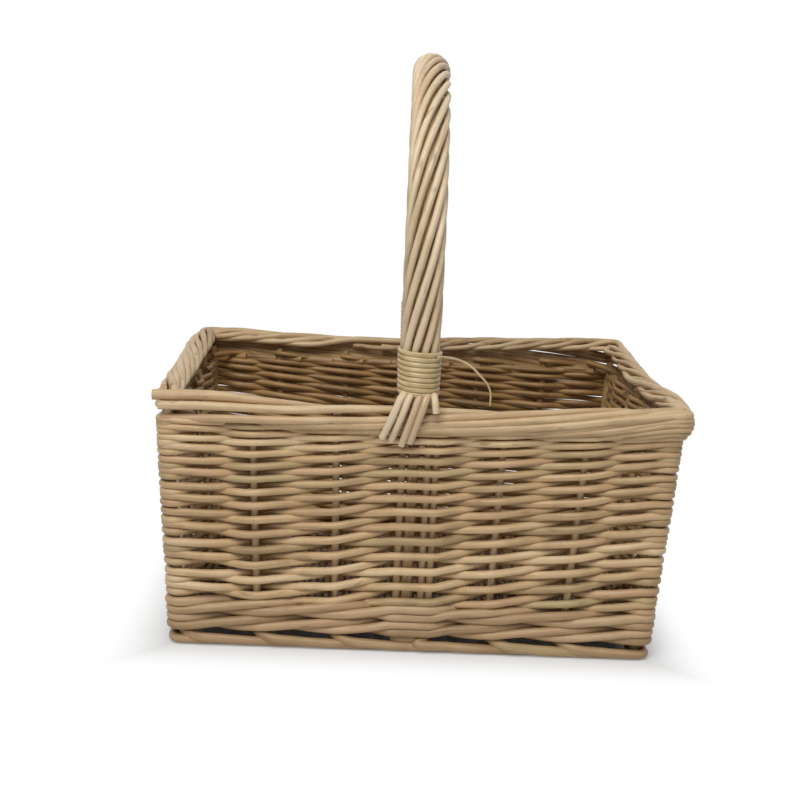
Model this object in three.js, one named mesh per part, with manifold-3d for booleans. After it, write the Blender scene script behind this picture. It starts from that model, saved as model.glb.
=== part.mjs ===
// A rectangular straw-coloured willow basket with a fixed bow handle across its middle.
// Millimetres, +Z up, origin on the floor under the middle of the basket. The long walls face -Y and +Y.
// Each wall is laid out as the front one is, along X and facing -Y, and turned about Z to its place.
import * as THREE from "three";
import { mergeVertices } from "three/addons/utils/BufferGeometryUtils.js";
import Module from "manifold-3d";

const wasm = await Module();
wasm.setup();

// Driving sizes of the whole basket
const RIM_LENGTH = 400; // along X, outside the border
const RIM_WIDTH = 300; // along Y, outside the border
const BODY_HEIGHT = 200; // floor to the top of the border
const HANDLE_HEIGHT = 450; // floor to the top of the roped bow
const FOOT_LENGTH = 366; // along X, outside the foot
const FOOT_WIDTH = 266; // along Y, outside the foot

// Rods, as diameters
const STAKE_THICK = 6.4;
const POST_THICK = 7.6;
const LINER_THICK = 5.9;
const WEAVER_THICK = 5.0;
const WALE_THICK = 6.2;
const BASE_STICK_THICK = 7.2;
const BORDER_ROD_THICK = 11.4;
const BORDER_CORE_THICK = 12; // what the border's rods are rolled over
const STRAND_THICK = 4.8;
const CORE_THICK = 17.2;
const TONGUE_THICK = 5.9;

// Courses of the body, from the floor up
const FOOT_DEPTH = 13.5;
const FOOT_BREADTH = 22;
const STAKE_INSET = 9; // from the foot's outer face to the middle of the stakes
const FOOT_CHAMFER = 2.5;
const FOOT_CORNER_RADIUS = 16.5;
const FOOT_INNER_RADIUS = 7.5;
const WALE_LIFT = 2.4; // the open line between the foot and the wale
const WALE_DEPTH = 25.6;
const BORDER_DEPTH = 18;
const BORDER_BREADTH = 23;
const BORDER_OVERHANG = 4.5; // how far the border stands out past the weave
const BASE_DEPTH = 11;

// Counts
const LONG_WALL_STAKE_COUNT = 5; // between the corner posts; the middle one is the bow's tongue and liners
const SHORT_WALL_STAKE_COUNT = 3;
const LINER_COUNT = 2; // on each side of a tongue
const WEAVE_ROUND_COUNT = 24;
const WALE_ROD_COUNT = 3;
const BASE_STICK_COUNT = 5;
const BORDER_ROD_COUNT = 3;
const STRAND_COUNT = 10;
const FAN_STRAND_COUNT = 4;

// Handle
const TWIST_STEP_COUNT = 23; // whole turn of the rope, in steps of one strand
const TWIST_EASE = 0.15; // how much slacker the rope is twisted next to the bindings
const TONGUE_FOOT = 24; // height of the tongues' points above the floor
const BINDING_TURN_COUNT = 9;
const BINDING_PITCH = 4;
const BINDING_TAPE_WIDTH = 3.6;
const BINDING_TAPE_THICK = 1.4;
const BINDING_FOOT = 3; // height of the binding's first turn above the border
const FAN_PITCH = 7.5;
const FAN_LEFTMOST = 31; // how far the outer fan rod's end lies from the handle's middle
const FAN_DROP = 30; // how far the fan rods reach below the border's top
const LOOSE_END_THICK = 1.2;
const LOOSE_END_WIDTH = 2.2;
const LOOSE_END_REACH = 34; // how far the loose end of the binding springs out sideways

const GAP = 0.3; // between pieces that touch
const STEP_ROOM = 0.8; // what the straight steps of a wound rod take from its clearance
const ROD_SIDES = 8;
const STRAND_SIDES = 5;
const STRAND_STEPS = 28;
const BOW_STEPS = 28;
const BINDING_STEPS = 8; // in one turn
const POST_CORNER = Math.PI / 8; // half the bend where a rod rounds a post

// Courses of the body
const WALE_FOOT = FOOT_DEPTH + WALE_LIFT;
const WALE_TOP = WALE_FOOT + WALE_DEPTH;
const BORDER_FOOT = BODY_HEIGHT - BORDER_DEPTH;
const WEAVE_FOOT = WALE_TOP + GAP;
const WEAVE_TOP = BORDER_FOOT - GAP;
const ROUND_PITCH = (WEAVE_TOP - WEAVE_FOOT) / WEAVE_ROUND_COUNT;
const BASE_FOOT = FOOT_DEPTH + GAP;
const LINER_PITCH = LINER_THICK + GAP;
const LINER_SPAN = LINER_COUNT * LINER_PITCH;

// How far a woven rod's middle lies from the middle of the upright that it passes
const WALL_LEAN = Math.max(RIM_LENGTH - FOOT_LENGTH, RIM_WIDTH - FOOT_WIDTH) / 2 / BODY_HEIGHT;
const passing = (rodThick, depth) => (thick) =>
  thick / 2 + GAP + (WALL_LEAN * depth) / 2 + rodThick / 2;
const weaverOffset = passing(WEAVER_THICK, ROUND_PITCH);
const waleOffset = passing(WALE_THICK, WALE_DEPTH / WALE_ROD_COUNT);
const WALL_HALF = weaverOffset(STAKE_THICK) + WEAVER_THICK / 2;

// The stakes' line: half the basket's length and width at a height, in the middle of the walls.
function stakeLine(height, rimSize, footSize) {
  const atRim = rimSize / 2 - BORDER_OVERHANG - WALL_HALF;
  const atFoot = footSize / 2 - STAKE_INSET;
  return atFoot + ((atRim - atFoot) * height) / BODY_HEIGHT;
}
const halfLength = (height) => stakeLine(height, RIM_LENGTH, FOOT_LENGTH);
const halfWidth = (height) => stakeLine(height, RIM_WIDTH, FOOT_WIDTH);

// The four walls. along is half the wall's own length and away its distance from the basket's middle.
const WALLS = [
  { name: "front", turn: 0, long: true },
  { name: "right", turn: Math.PI / 2, long: false },
  { name: "back", turn: Math.PI, long: true },
  { name: "left", turn: -Math.PI / 2, long: false },
].map((wall) => ({
  ...wall,
  stakes: wall.long ? LONG_WALL_STAKE_COUNT : SHORT_WALL_STAKE_COUNT,
  along: wall.long ? halfLength : halfWidth,
  away: wall.long ? halfWidth : halfLength,
}));

function willow(color) {
  return new THREE.MeshStandardMaterial({ color, roughness: 0.55, metalness: 0 });
}
const WEAVER_WILLOW = willow(0xc4a47c);
const STAKE_WILLOW = willow(0xb8966c);
const BORDER_WILLOW = willow(0xd2b48a);
const HANDLE_WILLOW = willow(0xcbab80);
const CORE_WILLOW = willow(0xa98658);
const BINDING_CANE = willow(0xd4bd84);

const basket = new THREE.Group();

function add(name, geometry, material, turn = 0) {
  const mesh = new THREE.Mesh(geometry, material);
  mesh.name = name;
  mesh.rotation.z = turn;
  basket.add(mesh);
  return mesh;
}

// Solids for joining and cutting
function toSolid(geometry) {
  const bare = new THREE.BufferGeometry();
  bare.setAttribute("position", geometry.getAttribute("position"));
  if (geometry.index) bare.setIndex(geometry.index);
  const merged = mergeVertices(bare, 1e-3);
  return new wasm.Manifold(
    new wasm.Mesh({
      numProp: 3,
      vertProperties: merged.attributes.position.array,
      triVerts: new Uint32Array(merged.index.array),
    }),
  );
}

function toGeometry(solid) {
  const mesh = solid.getMesh();
  const geometry = new THREE.BufferGeometry();
  geometry.setAttribute("position", new THREE.BufferAttribute(mesh.vertProperties, 3));
  geometry.setIndex(new THREE.BufferAttribute(mesh.triVerts, 1));
  geometry.computeVertexNormals();
  return geometry;
}

const join = (solids) => solids.reduce((whole, next) => whole.add(next));

// A regular polygon, as the section of a rod of this thickness.
function rodSection(thick, sides) {
  const corners = Array.from({ length: sides }, (_, i) => {
    const angle = ((i + 0.5) * 2 * Math.PI) / sides;
    return new THREE.Vector2((thick / 2) * Math.cos(angle), (thick / 2) * Math.sin(angle));
  });
  return new THREE.Shape(corners);
}

function straightRod(from, to, thick, sides = ROD_SIDES) {
  return new THREE.ExtrudeGeometry(rodSection(thick, sides), {
    steps: 1,
    extrudePath: new THREE.LineCurve3(from, to),
  });
}

// The two edges of a flat ribbon of this breadth along points in plan, mitred where it turns.
// miters gives the cut's direction at the first and last points of an open ribbon.
function ribbonEdges(points, breadth, miters) {
  const count = points.length;
  const closed = !miters;
  const left = [];
  const right = [];
  points.forEach((point, i) => {
    const before = closed ? points[(i + count - 1) % count] : points[i - 1];
    const after = closed ? points[(i + 1) % count] : points[i + 1];
    const into = before ? point.clone().sub(before).normalize() : null;
    const out = after ? after.clone().sub(point).normalize() : null;
    const normal = (d) => new THREE.Vector2(-d.y, d.x);
    let miter;
    if (into && out) miter = normal(into).add(normal(out)).normalize();
    else miter = into ? miters[1] : miters[0];
    const side = normal(into ?? out);
    const reach = breadth / 2 / side.dot(miter);
    left.push(point.clone().addScaledVector(miter, reach));
    right.push(point.clone().addScaledVector(miter, -reach));
  });
  return { left, right };
}

// A rod's line in plan along the front wall at a height, passing outside or inside each stake.
// isOutside(i) says which, for i from 0 at the left post to stakes + 1 at the right one.
function wallLine(wall, height, isOutside, offset) {
  const a = wall.along(height);
  const y = -wall.away(height);
  const last = wall.stakes + 1;
  const spacing = (2 * a) / last;
  const points = [];
  for (let i = 0; i <= last; i += 1) {
    const x = -a + i * spacing;
    const side = isOutside(i) ? -1 : 1;
    const isPost = i === 0 || i === last;
    const isTongue = wall.long && i === last / 2;
    if (isPost) {
      const reach = offset(POST_THICK) / Math.cos(POST_CORNER);
      const end = i === 0 ? -1 : 1;
      const slope = Math.atan2(2 * reach, spacing);
      const inner = reach / (Math.cos(slope) + Math.sin(slope));
      const diagonal = isOutside(i) ? reach * Math.SQRT1_2 : -inner;
      const shrink = (GAP / 2) * Math.SQRT1_2;
      const corner = new THREE.Vector2(x + end * (diagonal - shrink), y - diagonal - shrink);
      const face = new THREE.Vector2(x, y - reach);
      if (!isOutside(i)) points.push(corner);
      else if (i === 0) points.push(corner, face);
      else points.push(face, corner);
    } else if (isTongue) {
      const reach = side * offset(LINER_THICK);
      points.push(new THREE.Vector2(x - LINER_SPAN, y + reach));
      points.push(new THREE.Vector2(x + LINER_SPAN, y + reach));
    } else {
      points.push(new THREE.Vector2(x, y + side * offset(STAKE_THICK)));
    }
  }
  return points;
}

// A solid of this outline from one level up to the next. Neighbours share a level to the last digit.
function course(shape, foot, top) {
  const geometry = new THREE.ExtrudeGeometry(shape, { depth: 1, bevelEnabled: false });
  const places = geometry.getAttribute("position");
  for (let i = 0; i < places.count; i += 1) places.setZ(i, places.getZ(i) < 0.5 ? foot : top);
  return toSolid(geometry);
}

// One length of weaver along a wall, cut on the corners' diagonals.
function wallRod(wall, foot, top, thick, isOutside, offset) {
  const points = wallLine(wall, (foot + top) / 2, isOutside, offset);
  const towardsLeftPost = new THREE.Vector2(Math.SQRT1_2, Math.SQRT1_2);
  const towardsRightPost = new THREE.Vector2(-Math.SQRT1_2, Math.SQRT1_2);
  const { left, right } = ribbonEdges(points, thick, [towardsLeftPost, towardsRightPost]);
  return course(new THREE.Shape([...right, ...left.reverse()]), foot, top);
}

// Randing: a rod passes outside one stake and inside the next, and the round above does the opposite.
function wallWeave(wall) {
  const rods = [];
  const level = (round) => WEAVE_FOOT + round * ROUND_PITCH;
  for (let round = 0; round < WEAVE_ROUND_COUNT; round += 1) {
    const isOutside = (i) => (i + round) % 2 === 0;
    rods.push(wallRod(wall, level(round), level(round + 1), WEAVER_THICK, isOutside, weaverOffset));
  }
  return toGeometry(join(rods));
}

// One rod of the wale, all the way round: outside two stakes and inside the third.
function waleRod(rod) {
  const level = (course) => WALE_FOOT + (course * WALE_DEPTH) / WALE_ROD_COUNT;
  const points = WALLS.flatMap((wall) => {
    const isPost = (i) => i === 0 || i === wall.stakes + 1;
    const isOutside = (i) => isPost(i) || (i + rod) % WALE_ROD_COUNT !== 0;
    const line = wallLine(wall, level(rod + 0.5), isOutside, waleOffset);
    return line
      .slice(0, -1)
      .map((point) => point.rotateAround(new THREE.Vector2(0, 0), wall.turn));
  });
  const { left, right } = ribbonEdges(points, WALE_THICK);
  const shape = new THREE.Shape(right);
  shape.holes.push(new THREE.Path(left));
  return course(shape, level(rod), level(rod + 1));
}

function upsettWale() {
  return toGeometry(join(Array.from({ length: WALE_ROD_COUNT }, (_, rod) => waleRod(rod))));
}

function roundedRectangle(length, width, radius, Kind) {
  const [x, y] = [length / 2, width / 2];
  const outline = new Kind();
  outline.moveTo(x - radius, -y);
  outline.absarc(x - radius, -y + radius, radius, -Math.PI / 2, 0);
  outline.absarc(x - radius, y - radius, radius, 0, Math.PI / 2);
  outline.absarc(-x + radius, y - radius, radius, Math.PI / 2, Math.PI);
  outline.absarc(-x + radius, -y + radius, radius, Math.PI, 1.5 * Math.PI);
  return outline;
}

// The rolled foot: a closed ring with a flat underside.
function footBorder() {
  const inset = 2 * FOOT_CHAMFER;
  const shape = roundedRectangle(
    FOOT_LENGTH - inset,
    FOOT_WIDTH - inset,
    FOOT_CORNER_RADIUS - FOOT_CHAMFER,
    THREE.Shape,
  );
  const opening = 2 * FOOT_BREADTH - inset;
  shape.holes.push(
    roundedRectangle(FOOT_LENGTH - opening, FOOT_WIDTH - opening, FOOT_INNER_RADIUS, THREE.Path),
  );
  const geometry = new THREE.ExtrudeGeometry(shape, {
    depth: FOOT_DEPTH - 2 * FOOT_CHAMFER,
    bevelSize: FOOT_CHAMFER,
    bevelThickness: FOOT_CHAMFER,
    bevelSegments: 1,
    curveSegments: 3,
  });
  return geometry.translate(0, 0, FOOT_CHAMFER);
}

// The woven base: a panel with a channel for each base stick.
function basePanel() {
  const waleFace = waleOffset(STAKE_THICK) + WALE_THICK / 2 + GAP;
  const length = 2 * (halfLength(BASE_FOOT) - waleFace);
  const width = 2 * (halfWidth(BASE_FOOT) - waleFace);
  const shape = new THREE.Shape([
    new THREE.Vector2(-width / 2, -BASE_DEPTH / 2),
    new THREE.Vector2(width / 2, -BASE_DEPTH / 2),
    new THREE.Vector2(width / 2, BASE_DEPTH / 2),
    new THREE.Vector2(-width / 2, BASE_DEPTH / 2),
  ]);
  const places = Array.from(
    { length: BASE_STICK_COUNT },
    (_, i) => ((i + 0.5) / BASE_STICK_COUNT - 0.5) * width,
  );
  const channel = (BASE_STICK_THICK + 2 * GAP) / 2;
  for (const place of places) {
    shape.holes.push(new THREE.Path().absarc(place, 0, channel, 0, 2 * Math.PI));
  }
  const height = BASE_FOOT + BASE_DEPTH / 2;
  const panel = new THREE.ExtrudeGeometry(shape, {
    depth: length,
    bevelEnabled: false,
    curveSegments: ROD_SIDES,
  });
  panel.rotateX(Math.PI / 2);
  panel.rotateZ(Math.PI / 2);
  panel.translate(-length / 2, 0, height);
  add("base_weave", panel, WEAVER_WILLOW);
  places.forEach((place, i) => {
    const from = new THREE.Vector3(-length / 2, place, height);
    const to = new THREE.Vector3(length / 2, place, height);
    add(`base_stick_${i + 1}`, straightRod(from, to, BASE_STICK_THICK), STAKE_WILLOW);
  });
}

// A stake or post of a wall, between the foot and the border, leaning with the wall.
function uprightRod(wall, share, sideways, thick, foot = FOOT_DEPTH + GAP, top = BORDER_FOOT - GAP) {
  const place = (z) => new THREE.Vector3(share * wall.along(z) + sideways, -wall.away(z), z);
  const from = place(foot);
  const to = place(top);
  const tilt = (thick / 2) * WALL_LEAN * Math.SQRT2; // how far a leaning rod's end reaches past its middle
  from.z += tilt;
  to.z -= tilt;
  return straightRod(from, to, thick);
}

function uprights() {
  for (const wall of WALLS) {
    const last = wall.stakes + 1;
    for (let i = 1; i < last; i += 1) {
      const share = (2 * i) / last - 1;
      if (wall.long && i === last / 2) {
        for (let n = 1; n <= LINER_COUNT; n += 1) {
          for (const side of [-1, 1]) {
            const name = `${wall.name}_liner_${side < 0 ? "left" : "right"}_${n}`;
            const rod = uprightRod(wall, share, side * n * LINER_PITCH, LINER_THICK);
            add(name, rod, STAKE_WILLOW, wall.turn);
          }
        }
      } else {
        const rod = uprightRod(wall, share, 0, STAKE_THICK);
        add(`${wall.name}_stake_${i}`, rod, STAKE_WILLOW, wall.turn);
      }
    }
    add(`${wall.name}_left_post`, uprightRod(wall, -1, 0, POST_THICK), STAKE_WILLOW, wall.turn);
  }
}

// A curve along frame(t) = { point, normal }. Its section turns with normal, which is across the curve.
// Without a normal the section turns as little as it can.
class FramedCurve extends THREE.Curve {
  constructor(frame) {
    super();
    this.frame = frame;
  }
  getPoint(t) {
    return this.frame(t).point;
  }
  getPointAt(t) {
    return this.frame(t).point;
  }
  getSpacedPoints(steps) {
    return Array.from({ length: steps + 1 }, (_, i) => this.frame(i / steps).point);
  }
  getTangentAt(t) {
    const step = 1e-4;
    const before = this.frame(Math.max(0, t - step)).point;
    return this.frame(Math.min(1, t + step)).point.sub(before).normalize();
  }
  computeFrenetFrames(steps) {
    if (!this.frame(0).normal) return super.computeFrenetFrames(steps);
    const tangents = [];
    const normals = [];
    const binormals = [];
    for (let i = 0; i <= steps; i += 1) {
      const tangent = this.getTangentAt(i / steps);
      const binormal = tangent.clone().cross(this.frame(i / steps).normal).normalize();
      tangents.push(tangent);
      binormals.push(binormal);
      normals.push(binormal.clone().cross(tangent));
    }
    return { tangents, normals, binormals };
  }
}

function framedRod(frame, section, steps) {
  return new THREE.ExtrudeGeometry(section, { steps, extrudePath: new FramedCurve(frame) });
}

// A rod with a straight step from each point to the next.
function rodThrough(points, section) {
  const frame = (t) => {
    const place = t * (points.length - 1);
    const before = Math.min(Math.floor(place), points.length - 2);
    return { point: points[before].clone().lerp(points[before + 1], place - before) };
  };
  return framedRod(frame, section, points.length - 1);
}

// One side of the rolled border: rods that rise outside the wall and roll over to its inside.
function wallBorder(wall) {
  const length = wall.long ? RIM_LENGTH : RIM_WIDTH;
  const away = (wall.long ? RIM_WIDTH : RIM_LENGTH) / 2 - BORDER_BREADTH / 2;
  const middle = BODY_HEIGHT - BORDER_DEPTH / 2;
  const across = (BORDER_BREADTH - BORDER_ROD_THICK) / 2;
  const up = (BORDER_DEPTH - BORDER_ROD_THICK) / 2;
  const spacing = length / (wall.stakes + 1);
  const turns = length / (spacing * BORDER_ROD_COUNT);
  const rods = Array.from({ length: BORDER_ROD_COUNT }, (_, rod) => {
    const frame = (t) => {
      const angle = 2 * Math.PI * (turns * (t - 0.5) + rod / BORDER_ROD_COUNT);
      const out = across * Math.cos(angle);
      return {
        point: new THREE.Vector3(length * (t - 0.5), -away - out, middle + up * Math.sin(angle)),
        normal: new THREE.Vector3(0, -1, 0),
      };
    };
    const steps = Math.ceil((2 * length) / BORDER_BREADTH / 3);
    return toSolid(framedRod(frame, rodSection(BORDER_ROD_THICK, 6), steps));
  });
  const tip = (end) => new THREE.Vector3((end * length) / 2, -away, middle);
  rods.push(toSolid(straightRod(tip(-1), tip(1), BORDER_CORE_THICK)));
  const end = length / 2 - GAP / 2;
  const inner = end - BORDER_BREADTH - GAP;
  const outline = new THREE.Shape([
    new THREE.Vector2(-end, -away - BORDER_BREADTH / 2),
    new THREE.Vector2(end, -away - BORDER_BREADTH / 2),
    new THREE.Vector2(inner, -away + BORDER_BREADTH / 2 + GAP),
    new THREE.Vector2(-inner, -away + BORDER_BREADTH / 2 + GAP),
  ]);
  const wedge = new THREE.ExtrudeGeometry(outline, { depth: BORDER_DEPTH, bevelEnabled: false });
  wedge.translate(0, 0, BORDER_FOOT);
  let border = join(rods).intersect(toSolid(wedge));
  if (wall.long) border = border.subtract(toSolid(tongueRod(TONGUE_THICK + 2 * GAP, BODY_HEIGHT + 1)));
  return toGeometry(border);
}

// The bow stands on the border over the stakes' line, and its tongues go down inside the walls.
const BOW_AWAY = halfWidth(BODY_HEIGHT);
const BOW_FOOT = BODY_HEIGHT + GAP;
const BOW_RADIUS = BOW_AWAY;
const STRAND_ORBIT = CORE_THICK / 2 + GAP + STEP_ROOM + STRAND_THICK / 2;
const ROPE_RADIUS = STRAND_ORBIT + STRAND_THICK / 2;
const BOW_SPRING = HANDLE_HEIGHT - ROPE_RADIUS - BOW_RADIUS; // height where the legs turn into the arch
const BOW_LEG = BOW_SPRING - BOW_FOOT;
const BOW_LENGTH = 2 * BOW_LEG + Math.PI * BOW_RADIUS;

function tongueRod(thick, top) {
  const place = (z) => new THREE.Vector3(0, -halfWidth(z), z);
  return straightRod(place(TONGUE_FOOT), place(top), thick);
}

// A point of the bow's middle line at a length from its front foot, and the way out of the bow there.
function bowFrame(length) {
  if (length <= BOW_LEG) {
    return {
      point: new THREE.Vector3(0, -BOW_AWAY, BOW_FOOT + length),
      out: new THREE.Vector3(0, -1, 0),
    };
  }
  if (length >= BOW_LENGTH - BOW_LEG) {
    return {
      point: new THREE.Vector3(0, BOW_AWAY, BOW_FOOT + BOW_LENGTH - length),
      out: new THREE.Vector3(0, 1, 0),
    };
  }
  const angle = (length - BOW_LEG) / BOW_RADIUS;
  const out = new THREE.Vector3(0, -Math.cos(angle), Math.sin(angle));
  const middle = new THREE.Vector3(0, 0, BOW_SPRING);
  return { point: middle.addScaledVector(out, BOW_RADIUS), out };
}

function bow() {
  const frame = (t) => {
    const { point, out } = bowFrame(t * BOW_LENGTH);
    return { point, normal: out };
  };
  const arch = toSolid(framedRod(frame, rodSection(CORE_THICK, ROD_SIDES), BOW_STEPS));
  const tongue = tongueRod(TONGUE_THICK, BOW_FOOT + 1);
  const front = toSolid(tongue);
  const back = toSolid(tongue.clone().rotateZ(Math.PI));
  add("handle_bow", toGeometry(join([arch, front, back])), CORE_WILLOW);
}

const BINDING_TOP = BINDING_FOOT + BINDING_TURN_COUNT * BINDING_PITCH;

// How far the rope has turned at a length along the bow, in radians.
function ropeTwist(length) {
  const from = BINDING_TOP;
  const share = THREE.MathUtils.clamp((length - from) / (BOW_LENGTH - 2 * from), 0, 1);
  const eased = share - (TWIST_EASE * Math.sin(2 * Math.PI * share)) / (2 * Math.PI);
  return ((2 * Math.PI) / STRAND_COUNT) * TWIST_STEP_COUNT * eased;
}

// A strand's points where it lies over the border's outside, from its end up to the binding.
function fanPoints(place, start) {
  const rimFace = RIM_WIDTH / 2 + STRAND_THICK / 2 + GAP;
  const end = BODY_HEIGHT - FAN_DROP;
  const weaveFace = halfWidth(end) + WALL_HALF + STRAND_THICK / 2 + 2 * GAP;
  const endX = -FAN_LEFTMOST + place * FAN_PITCH;
  const heights = [
    [0, weaveFace, end],
    [0.28, rimFace - 1.2, BORDER_FOOT + BORDER_DEPTH * 0.05],
    [0.55, rimFace + 0.6, BODY_HEIGHT - BORDER_DEPTH * 0.45],
    [0.82, rimFace - 0.2, BODY_HEIGHT],
  ];
  return heights.map(
    ([share, away, z]) => new THREE.Vector3(THREE.MathUtils.lerp(endX, start.x, share), -away, z),
  );
}

function strand(index) {
  const phase = (2 * Math.PI * (index + 0.5)) / STRAND_COUNT;
  const at = (length) => {
    const { point, out } = bowFrame(length);
    const angle = phase + ropeTwist(length);
    point.addScaledVector(out, STRAND_ORBIT * Math.cos(angle));
    point.x += STRAND_ORBIT * Math.sin(angle);
    return point;
  };
  // A strand that faces outwards at a foot goes on over the border there, and the others end on top of it.
  const fanPlace = (angle) => {
    const turned = Math.atan2(Math.sin(angle), Math.cos(angle));
    return Math.round((turned * STRAND_COUNT) / (2 * Math.PI) + (FAN_STRAND_COUNT - 1) / 2);
  };
  const isFan = (place) => place >= 0 && place < FAN_STRAND_COUNT;
  const frontPlace = fanPlace(phase);
  const backPlace = FAN_STRAND_COUNT - 1 - fanPlace(phase + ropeTwist(BOW_LENGTH));
  const points = [];
  if (isFan(frontPlace)) points.push(...fanPoints(frontPlace, at(0)));
  const first = isFan(frontPlace) ? BINDING_FOOT : GAP;
  const last = BOW_LENGTH - (isFan(backPlace) ? BINDING_FOOT : GAP);
  for (let i = 0; i <= STRAND_STEPS; i += 1) {
    points.push(at(THREE.MathUtils.lerp(first, last, i / STRAND_STEPS)));
  }
  if (isFan(backPlace)) {
    const half = new THREE.Euler(0, 0, Math.PI);
    const start = at(BOW_LENGTH).applyEuler(half);
    const fan = fanPoints(backPlace, start).map((point) => point.applyEuler(half));
    points.push(...fan.reverse());
  }
  return rodThrough(points, rodSection(STRAND_THICK, STRAND_SIDES));
}

// The flat cane wound round the rope at the bow's front foot.
const BINDING_RADIUS = (ROPE_RADIUS + GAP + BINDING_TAPE_THICK / 2) / Math.cos(Math.PI / BINDING_STEPS);
function binding() {
  const start = BOW_FOOT + BINDING_FOOT + BINDING_TAPE_WIDTH / 2;
  const frame = (t) => {
    const angle = 2 * Math.PI * BINDING_TURN_COUNT * t;
    const normal = new THREE.Vector3(Math.cos(angle), Math.sin(angle), 0);
    const height = start + BINDING_TURN_COUNT * BINDING_PITCH * t;
    const point = new THREE.Vector3(0, -BOW_AWAY, height).addScaledVector(normal, BINDING_RADIUS);
    return { point, normal };
  };
  const section = new THREE.Shape([
    new THREE.Vector2(-BINDING_TAPE_THICK / 2, -BINDING_TAPE_WIDTH / 2),
    new THREE.Vector2(BINDING_TAPE_THICK / 2, -BINDING_TAPE_WIDTH / 3),
    new THREE.Vector2(BINDING_TAPE_THICK / 2, BINDING_TAPE_WIDTH / 3),
    new THREE.Vector2(-BINDING_TAPE_THICK / 2, BINDING_TAPE_WIDTH / 2),
  ]);
  return framedRod(frame, section, BINDING_TURN_COUNT * BINDING_STEPS);
}

// The binding's loose end, which springs out of the front binding over the inside of the border.
function looseEnd() {
  const startX = BINDING_RADIUS + BINDING_TAPE_THICK / 2 + LOOSE_END_THICK / 2 + GAP;
  const inside = BOW_AWAY - BORDER_BREADTH / 2 - LOOSE_END_THICK;
  const top = BODY_HEIGHT + BINDING_TOP - BINDING_PITCH;
  const drop = top - BODY_HEIGHT;
  // Shares of the reach, of the way to the border's inside and of the drop to the border's top
  const shares = [
    [0, 0, 0.04],
    [0.05, 0.5, 0],
    [0.35, 0.7, 0.1],
    [0.7, 0.95, 0.4],
    [0.93, 1.1, 0.75],
    [1, 1, 1.05],
  ];
  const points = shares.map(([reach, inward, down]) => {
    const away = THREE.MathUtils.lerp(BOW_AWAY, inside, inward);
    return new THREE.Vector3(startX + LOOSE_END_REACH * reach, -away, top - drop * down);
  });
  const path = new THREE.CatmullRomCurve3(points);
  const section = new THREE.Shape([
    new THREE.Vector2(-LOOSE_END_WIDTH / 2, -LOOSE_END_THICK / 2),
    new THREE.Vector2(LOOSE_END_WIDTH / 2, -LOOSE_END_THICK / 2),
    new THREE.Vector2(LOOSE_END_WIDTH / 2, LOOSE_END_THICK / 2),
    new THREE.Vector2(-LOOSE_END_WIDTH / 2, LOOSE_END_THICK / 2),
  ]);
  return new THREE.ExtrudeGeometry(section, { steps: 14, extrudePath: path });
}

add("foot_border", footBorder(), BORDER_WILLOW);
basePanel();
uprights();
add("upsett_wale", upsettWale(), WEAVER_WILLOW);
for (const wall of WALLS) {
  add(`${wall.name}_weave`, wallWeave(wall), WEAVER_WILLOW, wall.turn);
  add(`${wall.name}_border`, wallBorder(wall), BORDER_WILLOW, wall.turn);
}
bow();
for (let i = 0; i < STRAND_COUNT; i += 1) add(`handle_strand_${i + 1}`, strand(i), HANDLE_WILLOW);
add("front_binding", binding(), BINDING_CANE);
add("back_binding", binding(), BINDING_CANE, Math.PI);
add("binding_loose_end", looseEnd(), BINDING_CANE);

export default basket;
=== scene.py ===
"""The looks of a rectangular willow basket with a roped bow handle.

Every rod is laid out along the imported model's own uprights, and then given its round skin, its grain and its
colour. Lengths are in metres, by way of MM, and only the tables of stations and levels are in millimetres.
"""
import logging
import math
import random
from abc import ABC, abstractmethod
from dataclasses import dataclass
from enum import Enum
from typing import Any, Callable, Sequence

import bpy
import numpy as np
from mathutils import Matrix, Vector


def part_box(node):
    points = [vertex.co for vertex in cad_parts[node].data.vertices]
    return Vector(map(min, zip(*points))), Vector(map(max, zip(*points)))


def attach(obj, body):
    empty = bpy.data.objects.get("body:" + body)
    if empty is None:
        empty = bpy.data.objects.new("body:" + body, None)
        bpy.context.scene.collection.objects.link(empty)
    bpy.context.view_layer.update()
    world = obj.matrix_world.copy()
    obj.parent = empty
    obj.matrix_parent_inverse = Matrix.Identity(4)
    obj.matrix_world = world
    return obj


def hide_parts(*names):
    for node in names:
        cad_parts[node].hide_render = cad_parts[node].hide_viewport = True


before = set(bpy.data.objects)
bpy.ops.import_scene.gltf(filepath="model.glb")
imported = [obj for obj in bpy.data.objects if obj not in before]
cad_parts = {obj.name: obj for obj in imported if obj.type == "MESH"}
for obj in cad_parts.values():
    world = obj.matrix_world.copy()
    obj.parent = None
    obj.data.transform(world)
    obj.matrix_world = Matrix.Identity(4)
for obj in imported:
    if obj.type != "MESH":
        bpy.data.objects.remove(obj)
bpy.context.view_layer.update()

MM = 0.001
BODY = "root"
HALF_TURN = np.array([-1.0, -1.0, 1.0])
WHITE = (1.0, 1.0, 1.0, 1.0)
LOG = logging.getLogger("basket")

Pair = tuple[float, float]
Triple = tuple[float, float, float]
Color = Triple
Station = Triple


def linear(color: Color) -> tuple[float, ...]:
    """Turns a colour as a screen shows it, from 0 to 255, into the opaque one that a shader takes."""
    shares = [channel / 255 for channel in color]
    flat = [share / 12.92 if share <= 0.04045 else ((share + 0.055) / 1.055) ** 2.4 for share in shares]
    return (*flat, 1.0)


def link(name: str, data: bpy.types.ID) -> bpy.types.Object:
    """Makes an object of its data and puts it in the scene."""
    thing = bpy.data.objects.new(name, data)
    bpy.context.scene.collection.objects.link(thing)
    return thing


def operator(operation: str, is_turned: bool = False) -> Callable[["Wire", Any], "Wire"]:
    """Makes an operator of wires, whose other side comes first where it is turned."""
    return lambda wire, other: wire.work(operation, *((other, wire) if is_turned else (wire, other)))


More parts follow.
